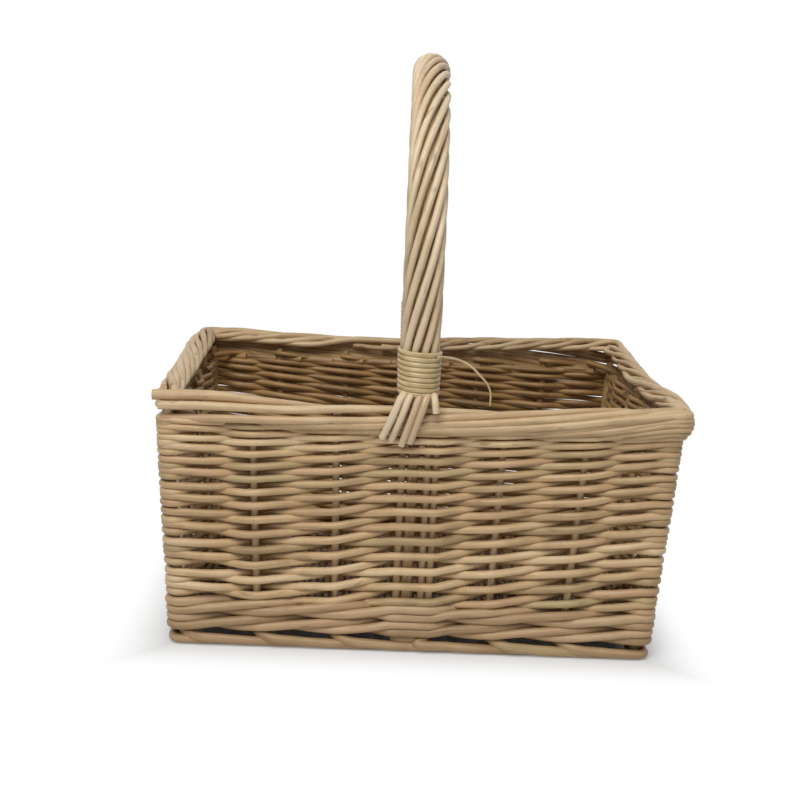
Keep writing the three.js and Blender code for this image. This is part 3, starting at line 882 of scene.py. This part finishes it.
    def _knots(self, start: int) -> list[Knot]:
        """Leads the weaver that starts behind an upright, from its butt there to its tip under the rim."""
        ring, chance = self.ring, self.bundle.jitter
        last = 2 * self.top
        heights = [self.height(n // 2, start + n, n % 2 == 1) + chance(self.wobble) for n in range(last + 1)]
        if self.back[0] < (start + last) % ring.count <= self.back[1]:
            heights[last] += self.tip_rise
        knots: list[Knot] = []
        for n, height in enumerate(heights):
            place, is_outside = start + n, n % 2 == 1
            stand = ring.upright(place).stand
            radius = self.radius * (1 + (self.tip - 1) * (n / last) ** self.ease)
            away = stand.value + radius + self.gap
            if is_outside:
                knots += ring.knots(place, away + chance(self.sway), height)
            elif stand is Stand.POST:
                near = [heights[min(max(n + side, 0), last)] for side in (-1, 0, 1)]
                knots += self._round_post(place, away if n < last else 0.0, radius, near)
            else:
                back = -away + chance(self.sway)
                if n == 0:
                    knots += ring.knots(place - self.butt_lead, back - 1.5 * MM, height - 1 * MM)
                knots += ring.knots(place, back, height)
                if n == last:
                    knots += ring.knots(place + self.tip_lead, 0.4 * back, height)
            if n < last:
                knots += self._way_over(place, is_outside, away, heights[n:n + 2])
        return knots

    def build(self, shop: Shop) -> None:
        """Weaves the walls."""
        nodes = [f"{wall}_weave" for wall, _ in Ring.WALLS]
        for start in range(self.ring.count):
            rod = self.bundle.rod(self._knots(start), self.radius, 1.0, self.tip, self.ease)
            shop.lay(f"weaver_{start + 1}", [rod], Look.WALLS, "weave", *nodes)


@dataclass
class Wale(Work):
    """The band above the foot: two rounds of three rods, each outside two uprights and inside the third."""

    ring: Ring
    radius: float = 3.5 * MM
    feet: tuple[float, ...] = (15.6 * MM, 28.0 * MM)
    rise: float = 6.6 * MM
    seam: int = 13  # the place where the rods start and end
    gap: float = 0.1 * MM
    taper: Pair = (1.05, 0.95)
    # The side and the share of the rise at each half step of a stroke.
    lay: tuple[Pair, ...] = ((1, 0.02), (1, 0.5), (1, 0.98), (0, 1.0), (-1, 0.5), (0, 0.0))

    def build(self, shop: Shop) -> None:
        """Weaves the wale."""
        bundle = Bundle(23)
        rods = []
        for foot in self.feet:
            for k in range(3):
                knots: list[Knot] = []
                for half_step in range(2 * self.ring.count + 1):
                    place = self.seam + half_step / 2
                    side, share = self.lay[int(2 * (place - k)) % len(self.lay)]
                    passing = self.ring.upright(round(place)).stand.value + self.radius + self.gap
                    out = side * passing + bundle.jitter(0.2 * MM)
                    height = foot + share * self.rise + bundle.jitter(0.3 * MM)
                    knots += self.ring.knots(place, out, height)
                rods.append(bundle.rod(knots, self.radius, *self.taper))
        shop.lay("upsett_wale_rods", rods, Look.LOW, "wale", "upsett_wale")


@dataclass
class Foot(Work):
    """The rolled foot: the uprights' lower ends, bent one over another under the wale.

    A station is how many uprights on it lies, the way out and the height, in millimetres.
    """

    ring: Ring
    radius: float = 3.6 * MM
    taper: Pair = (1.12, 0.86)
    stations: tuple[Station, ...] = (
        (-0.04, -5.0, 10.5), (0.02, 2.5, 9.4), (0.12, 6.3, 7.8), (0.5, 7.2, 5.6), (1.0, 6.6, 4.2),
        (1.7, 3.5, 3.5), (2.15, -3.5, 3.4),
    )

    def build(self, shop: Shop) -> None:
        """Rolls the foot."""
        bundle = Bundle(37, tone=0.45)
        rods = []
        for start in range(self.ring.count):
            shift = bundle.jitter(0.08)
            stations = [(start + v + shift, out * MM, z * MM) for v, out, z in self.stations]
            rods.append(bundle.rod(self.ring.route(stations), self.radius, *self.taper))
        shop.lay("foot_rods", rods, Look.LOW, "foot", "foot_border")


@dataclass(frozen=True)
class Run:
    """A row of the border's rods that are laid alike, by the places where the first starts and the last may.

    A rod starts each step, and is on top after it has passed rise uprights.
    """

    wall: str
    first: float
    last: float
    step: float
    rise: float
    radius: float


@dataclass(frozen=True)
class Swell:
    """How many millimetres the rim goes outwards and upwards round a place, over a reach of uprights."""

    place: float
    reach: float
    out: float
    up: float


@dataclass
class RolledBorder(Work):
    """The rim: the uprights' upper ends, which rise outside the wall and roll over to its inside.

    A station of the roll is a share of the run's rise, the way out and the height over the foot, in
    millimetres. Those of the front's first and second rod are a place, the way out and the height.
    """

    ring: Ring
    foot: float = 179.0 * MM
    end: float = 20.05  # the place where the rods are cut off
    first_radii: Pair = (4.1 * MM, 3.3 * MM)
    first_tips: Pair = (0.8, 0.9)
    unevenness: float = 0.12  # of the steps of a run
    sags: tuple[float, ...] = (4.5 * MM, 1.5 * MM, -0.5 * MM, 0.5 * MM)  # in the middle of each wall
    bulges: tuple[float, ...] = (0.0, 0.0, 0.0, 3.2 * MM)  # outwards, likewise
    swells: tuple[Swell, ...] = (
        Swell(6.5, 1.6, 6.0, 3.5), Swell(16.4, 1.7, 6.0, 2.0), Swell(15.6, 1.2, 0.0, 2.5),
        Swell(10.2, 3.2, 1.0, 9.0),
    )
    swell_foot: float = -2.5  # millimetres of height where the swells start, and over which they grow
    swell_growth: float = 9.0
    inner_share: float = 0.7  # of a swell outwards that the inner side takes part in
    runs: tuple[Run, ...] = (
        Run("front", 0.2, 2.6, 1.05, 4.2, 3.1 * MM),
        Run("front", 2.95, 5.95, 0.42, 2.6, 2.1 * MM),
        Run("right", 6.0, 9.9, 0.45, 2.6, 2.7 * MM),
        Run("back", 10.1, 15.9, 0.43, 3.2, 3.0 * MM),
        Run("left", 16.1, 19.3, 0.58, 2.4, 3.1 * MM),
    )
    taper: Pair = (1.08, 0.88)
    roll: tuple[Station, ...] = (
        (-0.25, -2.5, -3.0), (-0.1, 1.0, -2.5), (0.08, 6.5, 1.0), (0.3, 8.2, 4.0), (0.55, 8.4, 8.3),
        (0.8, 7.5, 13.0), (1.03, 3.5, 16.5), (1.2, -2.5, 17.0), (1.38, -6.8, 12.0), (1.52, -4.5, 10.5),
        (1.66, 0.5, 11.5),
    )
    first: tuple[Station, ...] = (
        (-0.15, 3.0, 194.1), (0.41, 3.0, 195.1), (0.75, 2.5, 194.4), (0.99, 1.0, 192.6), (1.22, -1.5, 190.6),
        (1.5, -5.0, 188.6), (1.9, -9.0, 185.0),
    )
    second: tuple[Station, ...] = (
        (-0.08, 6.5, 187.2), (0.41, 6.5, 187.9), (1.57, 6.0, 187.6), (2.04, 5.0, 189.3), (2.74, 3.0, 190.0),
        (3.27, 1.0, 189.5), (3.9, -5.0, 187.0), (4.3, -9.0, 183.0),
    )

    def _straight_start(self, stations: Sequence[Station]) -> list[Knot]:
        """Leads a rod whose first station lies straight before the front left corner."""
        (place, out, height), *others = [(v, o * MM, z * MM) for v, o, z in stations]
        post = self.ring.upright(0).at(height)
        span = self.ring.upright(1).at(height) - post
        start = Knot(post + span * place + self.ring.outwards(0) * out)
        return [start, *self.ring.route(others)]

    def _curve(self, place: float, tops: Sequence[float]) -> float:
        """A curve that is 0 at the corners and a wall's own value at its middle."""
        place %= self.ring.count
        wall = max(i for i, post in enumerate(self.ring.posts) if post <= place)
        start, end = [*self.ring.posts, self.ring.count][wall:wall + 2]
        share = (place - start) / (end - start)
        return tops[wall] * 4 * share * (1 - share)

    def _rolled(self, start: float, rise: float, bundle: Bundle) -> list[Knot]:
        """Leads a rod of the roll that starts at a place.

        Args:
            start: Where it comes out under the rim.
            rise: How many uprights it passes until it is on top.
            bundle: The pile that it is drawn from.

        Returns:
            Its knots.
        """
        stations = []
        for share, out, height in self.roll:
            place = start + share * rise
            if place > self.end:
                break
            swollen = min(max((height - self.swell_foot) / self.swell_growth, 0.0), 1.0)
            height = self.foot + height * MM - self._curve(place, self.sags) + bundle.jitter(0.4 * MM)
            bulge = self._curve(place, self.bulges)
            for swell in self.swells:
                share_in = max(0.0, 1 - abs(place - swell.place) / swell.reach)
                bulge += swell.out * MM * share_in * (1.0 if out > 0 else self.inner_share)
                height += swell.up * MM * share_in * swollen
            stations.append((place, out * MM + bulge + bundle.jitter(0.3 * MM), height))
        return self.ring.route(stations)

    def build(self, shop: Shop) -> None:
        """Rolls the rim."""
        bundle = Bundle(41, tone=0.6, hue_spread=0.35)
        walls: dict[str, list[Rod]] = {wall: [] for wall, _ in Ring.WALLS}
        for stations, radius, tip in zip((self.first, self.second), self.first_radii, self.first_tips):
            walls["front"].append(bundle.rod(self._straight_start(stations), radius, 1.0, tip))
        for run in self.runs:
            place = run.first
            while place <= run.last:
                knots = self._rolled(place, run.rise, bundle)
                walls[run.wall].append(bundle.rod(knots, run.radius, *self.taper))
                place += run.step * (1 + bundle.jitter(self.unevenness))
        for wall, rods in walls.items():
            shop.lay(f"{wall}_border_rods", rods, Look.RIM, "border", f"{wall}_border")


@dataclass
class Uprights(Work):
    """The stakes, corner posts and liners."""

    ring: Ring
    foot: float = 12.0 * MM
    head: float = 185.0 * MM
    tip: float = 0.9

    def build(self, shop: Shop) -> None:
        """Stands up the uprights."""
        # The uprights are drawn in light tones: painted light, so that the stakes show as bright as lit rods
        # between the weavers.
        bundle = Bundle(53, tone=0.75, hue_spread=0.2)
        for upright in self.ring.uprights:
            for node in upright.nodes:
                foot, head = ends_of(node)
                way = (head - foot) / (head[2] - foot[2])
                knots = [Knot(foot + way * (height - foot[2])) for height in (self.foot, self.head)]
                rod = bundle.rod(knots, upright.stand.value, 1.0, self.tip)
                shop.lay(f"{node}_rod", [rod], Look.WALLS, "uprights", node)


class CrossRods(GrowthTree):
    """The tree of the base's cross rods, which pass over one base stick and under the next."""

    def __init__(self) -> None:
        """Builds the tree, from one straight rod to the whole row of them."""
        super().__init__(
            "cross rods", sides=10, lumps=0.2, lump_length=20 * MM, count=61, pitch=5.6 * MM, thick=2.8 * MM,
            wave=3.7 * MM, stick_pitch=45.8 * MM, steps=56, seed=5,
        )
        part = self.entry.part
        curve = self.add("GeometryNodeMeshToCurve", {"Mesh": part("geometry")})
        fine = self.add("GeometryNodeResampleCurve", {"Curve": curve, "Count": part("steps")})
        copies = {"Geometry": fine, "Amount": part("count")}
        row = self.add("GeometryNodeDuplicateElements", copies, domain="SPLINE")
        marked = self.store(row, "number", row.part("Duplicate Index"))
        index = self.read("number")
        across = self.split(self.add("GeometryNodeInputPosition")).part("Y")
        turn = across / part("stick_pitch") * math.pi
        swing = self.add("ShaderNodeMath", {0: turn}, operation="COSINE")
        x = (index - (part("count") - 1.0) * 0.5) * part("pitch")
        z = swing * (self.pick("MODULO", index, 2.0) * 2.0 - 1.0) * part("wave")
        offset = self.add("ShaderNodeCombineXYZ", {"X": x, "Z": z})
        bent = self.add("GeometryNodeSetPosition", {"Geometry": marked, "Offset": offset})
        for name, low, high, seed_shift in (("tone", 0.2, 0.8, 0), ("hue", 0.0, 1.0, 1)):
            inputs = {"Min": low, "Max": high, "ID": index, "Seed": part("seed") + seed_shift}
            value = self.add("FunctionNodeRandomValue", inputs, "Value", data_type="FLOAT")
            bent = self.store(bent, name, value)
        thickened = self.store(bent, "thick", part("thick"))
        self.close(self.round_skin(self.store(thickened, "along", across + index * 0.3)))


@dataclass
class Base(Work):
    """The bottom: sticks along the basket and the rods that are woven across them."""

    radius: float = 2.4 * MM
    stick_count: int = 5
    reach: float = 4.5 * MM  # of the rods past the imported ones

    def build(self, shop: Shop) -> None:
        """Makes the bottom."""
        bundle = Bundle(61, tone=0.4)
        for number in range(1, self.stick_count + 1):
            node = f"base_stick_{number}"
            low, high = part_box(node)
            y, z = (low[1] + high[1]) / 2, (low[2] + high[2]) / 2
            knots = [Knot(np.array([x, y, z])) for x in (low[0] - self.reach, 0.0, high[0] + self.reach)]
            shop.lay(f"{node}_rod", [bundle.rod(knots, self.radius)], Look.SHADY, "uprights", node)
        low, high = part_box("base_weave")
        z = (low[2] + high[2]) / 2
        mesh = bpy.data.meshes.new("cross rod line")
        mesh.from_pydata([(0.0, low[1] - self.reach, z), (0.0, high[1] + self.reach, z)], [(0, 1)], [])
        piece = CrossRods().grow("base_cross_rods", mesh, material=shop.materials[Look.SHADY])
        shop.settle(piece, "base", "base_weave")


@dataclass
class Handle(Work):
    """The bow, the rods wound along it as a rope, and their fanned ends."""

    away: float = 136.74 * MM  # from the basket's middle to the bow's feet, and the arch's radius
    foot: float = 200.3 * MM
    spring: float = 298.76 * MM  # the height where the arch starts
    orbit: float = 12.1 * MM  # from the bow's middle to the strands'
    squeezed: float = 10.7 * MM  # the same under the bindings
    arch_steps: int = 120
    core_radius: float = 8.6 * MM
    core_start: float = 0.9  # where the tongue has the bow's full thickness, as a share of its way up
    tongue_radius: float = 2.95 * MM
    tongue_foot: float = 24.0 * MM
    strand_radius: float = 2.65 * MM
    strand_count: int = 10
    strand_steps: int = 150
    strand_lead: float = 6 * MM  # along the bow to where a strand starts
    tuck: float = 14 * MM  # of a strand whose end doesn't show
    twist_steps: float = 23.0
    twist_ease: float = 0.15
    binding_top: float = 35.0 * MM
    squeeze: Pair = (0.4, 0.8)  # where the rope starts to open and how long it takes, as shares of that
    skew: float = -1.4  # in degrees
    fan_count: int = 4  # the strands of a fan that lie side by side
    # Where each strand of a fan ends: how far to the right and how high.
    fan_ends: tuple[Pair, ...] = (
        (-24.5 * MM, 170.6 * MM), (-18.0 * MM, 168.4 * MM), (-10.5 * MM, 165.4 * MM), (-4.5 * MM, 167.5 * MM),
        (13.5 * MM, 191.5 * MM),
    )
    # How far out the rim's outside is at some heights, on which the fan lies.
    fan_bed: tuple[Pair, ...] = (
        (144.1 * MM, 170.0 * MM), (149.3 * MM, 183.0 * MM), (150.6 * MM, 192.0 * MM), (148.6 * MM, 201.0 * MM)
    )

    def __post_init__(self) -> None:
        """Works out the bow's length."""
        self.leg = self.spring - self.foot
        self.length = 2 * self.leg + math.pi * self.away

    def bow(self, length: float) -> tuple[np.ndarray, np.ndarray]:
        """The bow's middle at a length from its front foot, and the way out of the bow there."""
        angle = min(math.pi, max(0.0, (length - self.leg) / self.away))
        out = np.array([0.0, -math.cos(angle), math.sin(angle)])
        point = np.array([0.0, 0.0, self.spring]) + out * self.away
        point[2] += min(0.0, length - self.leg) + min(0.0, self.length - self.leg - length)
        return point, out

    def twist(self, length: float) -> float:
        """How far the rope has turned at a length, in radians."""
        share = (length - self.binding_top) / (self.length - 2 * self.binding_top)
        share = min(1.0, max(0.0, share))
        eased = share - self.twist_ease * math.sin(2 * math.pi * share) / (2 * math.pi)
        return 2 * math.pi / self.strand_count * self.twist_steps * eased

    def _orbit(self, length: float) -> float:
        """How far the strands lie from the bow's middle, closer under the bindings."""
        from_end = min(length, self.length - length)
        start, reach = (share * self.binding_top for share in self.squeeze)
        opened = min(1.0, max(0.0, (from_end - start) / reach))
        return self.squeezed + (self.orbit - self.squeezed) * opened

    def strand_point(self, phase: float, length: float) -> np.ndarray:
        """A strand's middle at a length."""
        point, out = self.bow(length)
        angle = phase + self.twist(length)
        orbit = self._orbit(length)
        return point + out * orbit * math.cos(angle) + np.array([orbit * math.sin(angle), 0.0, 0.0])

    def _fan_place(self, angle: float) -> int | None:
        """Which rod of the fan a strand is, by where it stands round the foot."""
        turned = math.atan2(math.sin(angle), math.cos(angle))
        place = round(turned * self.strand_count / (2 * math.pi) + (self.fan_count - 1) / 2)
        return place if 0 <= place < len(self.fan_ends) else None

    def _fan(self, place: int | None, start: np.ndarray) -> list[Knot]:
        """Leads a strand up to its start on the bow from its end in the fan, or tucks it in below."""
        if place is None:
            return [Knot(start - np.array([0.0, 0.0, self.tuck]))]
        end_x, foot = self.fan_ends[place]
        bed = [(away + self.strand_radius, height) for away, height in self.fan_bed]
        away_at_foot = np.interp(foot, [height for _, height in bed], [away for away, _ in bed])
        knots = [Knot(np.array([end_x, -away_at_foot, foot]))]
        top = start[2] + 4 * MM
        for away, height in bed:
            if height > foot + 5 * MM:
                x = end_x + (start[0] - end_x) * (height - foot) / (top - foot)
                knots.append(Knot(np.array([x, -away, height])))
        return knots

    def _strand(self, bundle: Bundle, index: int) -> Rod:
        """Winds one strand from its front end to its back end."""
        phase = 2 * math.pi * (index + 0.5) / self.strand_count
        first, last = self.strand_lead, self.length - self.strand_lead
        lengths = [first + (last - first) * i / self.strand_steps for i in range(self.strand_steps + 1)]
        middle = [Knot(self.strand_point(phase, length)) for length in lengths]
        front = self._fan_place(phase)
        back = self._fan_place(phase + self.twist(self.length))
        back = None if back is None else self.fan_count - 1 - back
        fans = [self._fan(front, middle[0].point), self._fan(back, middle[-1].point * HALF_TURN)]
        behind = [Knot(knot.point * HALF_TURN) for knot in reversed(fans[1])]
        strand = bundle.rod(fans[0] + middle + behind, self.strand_radius)
        strand.line = self.turned(strand.line)
        return strand

    def turned(self, points: np.ndarray) -> np.ndarray:
        """Turns points about the basket's upright middle by the small skew of the real handle."""
        angle = math.radians(self.skew)
        x, y, z = points.T
        across, away = x * math.cos(angle) - y * math.sin(angle), x * math.sin(angle) + y * math.cos(angle)
        return np.stack([across, away, z], axis=1)

    def build(self, shop: Shop) -> None:
        """Makes the bow and its rope."""
        arch = [self.bow(self.length * i / self.arch_steps)[0] for i in range(self.arch_steps + 1)]
        tongue = node_points("handle_bow")
        lowest = tongue[tongue[:, 2] < self.tongue_foot + 2 * MM]
        foot = np.array([0.0, -abs(lowest[:, 1]).mean(), self.tongue_foot])
        ends = [foot, foot * (1 - self.core_start) + arch[0] * self.core_start]
        line = np.array([*ends, *arch, *[end * HALF_TURN for end in reversed(ends)]])
        radii = np.full(len(line), self.core_radius)
        radii[:2] = radii[-2:] = self.tongue_radius
        core = Rod(self.turned(line), radii, 0.4, 0.5)
        shop.lay("handle_core", [core], Look.LOW, "handle_core", "handle_bow")
        bundle = Bundle(71, tone=0.6, spread=0.16, thick_spread=0.04, hue_spread=0.35)
        for index in range(self.strand_count):
            strand, number = self._strand(bundle, index), index + 1
            shop.lay(f"rope_strand_{number}", [strand], Look.ROPE, "handle_rope", f"handle_strand_{number}")


class CaneWinding(GrowthTree):
    """The tree of a flat tape that is wound round a foot of the handle."""

    def __init__(self) -> None:
        """Builds the tree, from the spiral to the tape."""
        super().__init__(
            "cane winding", turns=8.8, pitch=3.7 * MM, low_radius=14.6 * MM, high_radius=15.4 * MM, sides=14,
            tape_width=3.5 * MM, tape_thick=1.9 * MM, turn_steps=40, place=(0.0, 0.0, 0.0), turn=0.0,
        )
        part = self.entry.part
        spiral = self.add("GeometryNodeCurveSpiral", {
            "Resolution": part("turn_steps"),
            "Rotations": part("turns"),
            "Start Radius": part("low_radius"),
            "End Radius": part("high_radius"),
            "Height": part("turns") * part("pitch"),
        })
        level = self.add("GeometryNodeSetCurveNormal", {"Curve": spiral}, mode="Z_UP")
        measured = self.store(level, "along", self.add("GeometryNodeSplineParameter", None, "Length"))
        half_size = {"X": part("tape_thick") * 0.5, "Y": part("tape_width") * 0.5, "Z": 1.0}
        scale = self.add("ShaderNodeCombineXYZ", half_size)
        profile = self.add("GeometryNodeTransform", {"Geometry": self.circle(part("sides")), "Scale": scale})
        tube = self.sweep(measured, profile, 1.0)
        rotation = self.add("ShaderNodeCombineXYZ", {"Z": part("turn")})
        placing = {"Geometry": tube, "Translation": part("place"), "Rotation": rotation}
        self.close(self.add("GeometryNodeTransform", placing))


@dataclass
class Bindings(Work):
    """The split cane round each foot of the handle, and its loose end, whose points are in millimetres."""

    handle: Handle
    lift: float = 2.4 * MM
    tip_radius: float = 0.9 * MM
    tip_taper: Pair = (1.2, 0.7)
    tip_route: tuple[Station, ...] = (
        (9.5, -149.5, 232.0), (14.8, -143.0, 230.6), (22.4, -137.5, 229.0), (33.5, -136.7, 224.2),
        (41.2, -136.7, 217.1), (46.6, -136.7, 211.4), (49.2, -136.7, 205.6), (49.6, -137.5, 199.7),
        (49.4, -138.5, 195.5),
    )

    def build(self, shop: Shop) -> None:
        """Winds the bindings."""
        tree = CaneWinding()
        for name, side, turn in (("front_binding", -1, 0.0), ("back_binding", 1, math.pi)):
            foot = np.array([[0.0, side * self.handle.away, self.handle.foot + self.lift]])
            place = tuple(float(number) for number in self.handle.turned(foot)[0])
            seed = bpy.data.meshes.new(name + " seed")
            cane = shop.materials[Look.CANE]
            piece = tree.grow(f"{name}_cane", seed, place=place, turn=turn, material=cane)
            shop.settle(piece, "binding", name)
        knots = [Knot(np.array(point) * MM) for point in self.tip_route]
        rod = Bundle(83, tone=0.9).rod(knots, self.tip_radius, *self.tip_taper)
        shop.lay("binding_loose_tip", [rod], Look.CANE, "binding", "binding_loose_end")


@dataclass(frozen=True)
class Lamp:
    """A soft square lamp: where it hangs, the length of its sides and its power in watts."""

    name: str
    place: Triple
    size: float
    power: float

    def hang(self, target: Triple) -> None:
        """Hangs the lamp so that it shines at a target."""
        data = bpy.data.lights.new(self.name, "AREA")
        data.size = self.size
        data.energy = self.power
        turn = (Vector(target) - Vector(self.place)).to_track_quat("-Z", "Y").to_matrix().to_4x4()
        link(self.name, data).matrix_world = Matrix.Translation(self.place) @ turn


@dataclass(frozen=True)
class Studio:
    """The camera at the photo's angle, in degrees, a pale floor and soft light."""

    eye: Triple = (-38.7 * MM, -1067.8 * MM, 388.6 * MM)
    yaw: float = 1.38
    pitch: float = -11.63
    roll: float = 2.63
    lens: float = 58.72
    sensor: float = 36.0
    glow: float = 0.23
    grey: float = 0.82
    floor_reach: float = 6.0
    shade_reach: Triple = (0.17, 0.12, 1.0)  # where the floor takes shadows
    shade_edge: Pair = (-0.01, 0.06)
    target: Triple = (0.0, 0.0, 0.15)
    lamps: tuple[Lamp, ...] = (
        Lamp("key", (-0.35, -1.0, 1.3), 0.8, 13.5), Lamp("overhead", (0.1, -0.35, 1.25), 0.6, 2.0)
    )

    def _camera(self) -> None:
        """Sets up the camera."""
        yaw, pitch, roll = (math.radians(angle) for angle in (self.yaw, self.pitch, self.roll))
        ahead = Vector((math.sin(yaw) * math.cos(pitch), math.cos(yaw) * math.cos(pitch), math.sin(pitch)))
        level = Vector((math.cos(yaw), -math.sin(yaw), 0.0))
        upright = level.cross(ahead)
        right = level * math.cos(roll) + upright * math.sin(roll)
        up = upright * math.cos(roll) - level * math.sin(roll)
        data = bpy.data.cameras.new("camera")
        data.sensor_width = self.sensor
        data.lens = self.lens
        camera = link("camera", data)
        turn = Matrix((right, up, -ahead)).transposed().to_4x4()
        camera.matrix_world = Matrix.Translation(self.eye) @ turn
        bpy.context.scene.camera = camera

    @staticmethod
    def _seen(graph: Graph) -> Wire:
        """Is 1 for what the camera sees straight, mirrored or through glass."""
        rays = graph.add("ShaderNodeLightPath", None, "Is Camera Ray")
        seen = rays + rays.part("Is Glossy Ray") + rays.part("Is Transmission Ray")
        return graph.pick("MINIMUM", seen, 1.0)

    def _world(self) -> None:
        """Sets up the soft light from all round, and the white that is seen."""
        world = bpy.data.worlds.new("studio")
        bpy.context.scene.world = world
        world.use_nodes = True
        graph = Graph(world.node_tree)
        glow = graph.add("ShaderNodeBackground", {"Color": WHITE, "Strength": self.glow})
        white = graph.add("ShaderNodeBackground", {"Color": WHITE, "Strength": 1.0})
        both = graph.add("ShaderNodeMixShader", {0: self._seen(graph), 1: glow, 2: white})
        graph.add("ShaderNodeOutputWorld", {"Surface": both})

    def _floor(self) -> None:
        """Lays the floor, which takes the shadow near the basket and is seen as white elsewhere."""
        mesh = bpy.data.meshes.new("floor")
        reach = self.floor_reach
        corners = [(x * reach, y * reach, 0.0) for x, y in ((-1, -1), (1, -1), (1, 1), (-1, 1))]
        mesh.from_pydata(corners, [], [(0, 1, 2, 3)])
        material, graph = new_material("pale floor")
        matt = graph.add("ShaderNodeBsdfDiffuse", {"Color": (self.grey, self.grey, self.grey, 1.0)})
        white = graph.add("ShaderNodeEmission", {"Color": WHITE, "Strength": 1.0})
        place = graph.add("ShaderNodeTexCoord", None, "Object")
        ahead = graph.add("ShaderNodeVectorMath", {0: place}, "Vector", operation="ABSOLUTE")
        edge = graph.split(ahead - self.shade_reach + (0.0, 0.0, 1.0))
        past = graph.pick("MAXIMUM", edge, edge.part("Y"))
        share = self._seen(graph) * graph.spread(past, *self.shade_edge)
        both = graph.add("ShaderNodeMixShader", {0: share, 1: matt, 2: white})
        graph.add("ShaderNodeOutputMaterial", {"Surface": both})
        mesh.materials.append(material)
        floor = link("floor", mesh)

    def build(self) -> None:
        """Sets everything up."""
        bpy.context.scene.view_settings.view_transform = "Standard"
        self._camera()
        self._world()
        self._floor()
        for lamp in self.lamps:
            lamp.hang(self.target)


def main() -> None:
    """Builds the basket from the floor up."""
    logging.basicConfig(level=logging.INFO, format="%(message)s")
    Studio().build()
    shop = Shop()
    ring = Ring()
    handle = Handle()
    low: tuple[Work, ...] = (Foot(ring), Base(), Uprights(ring), Wale(ring), Randing(ring))
    for work in (*low, RolledBorder(ring), handle, Bindings(handle)):
        work.build(shop)


if __name__ == "__main__":
    main()
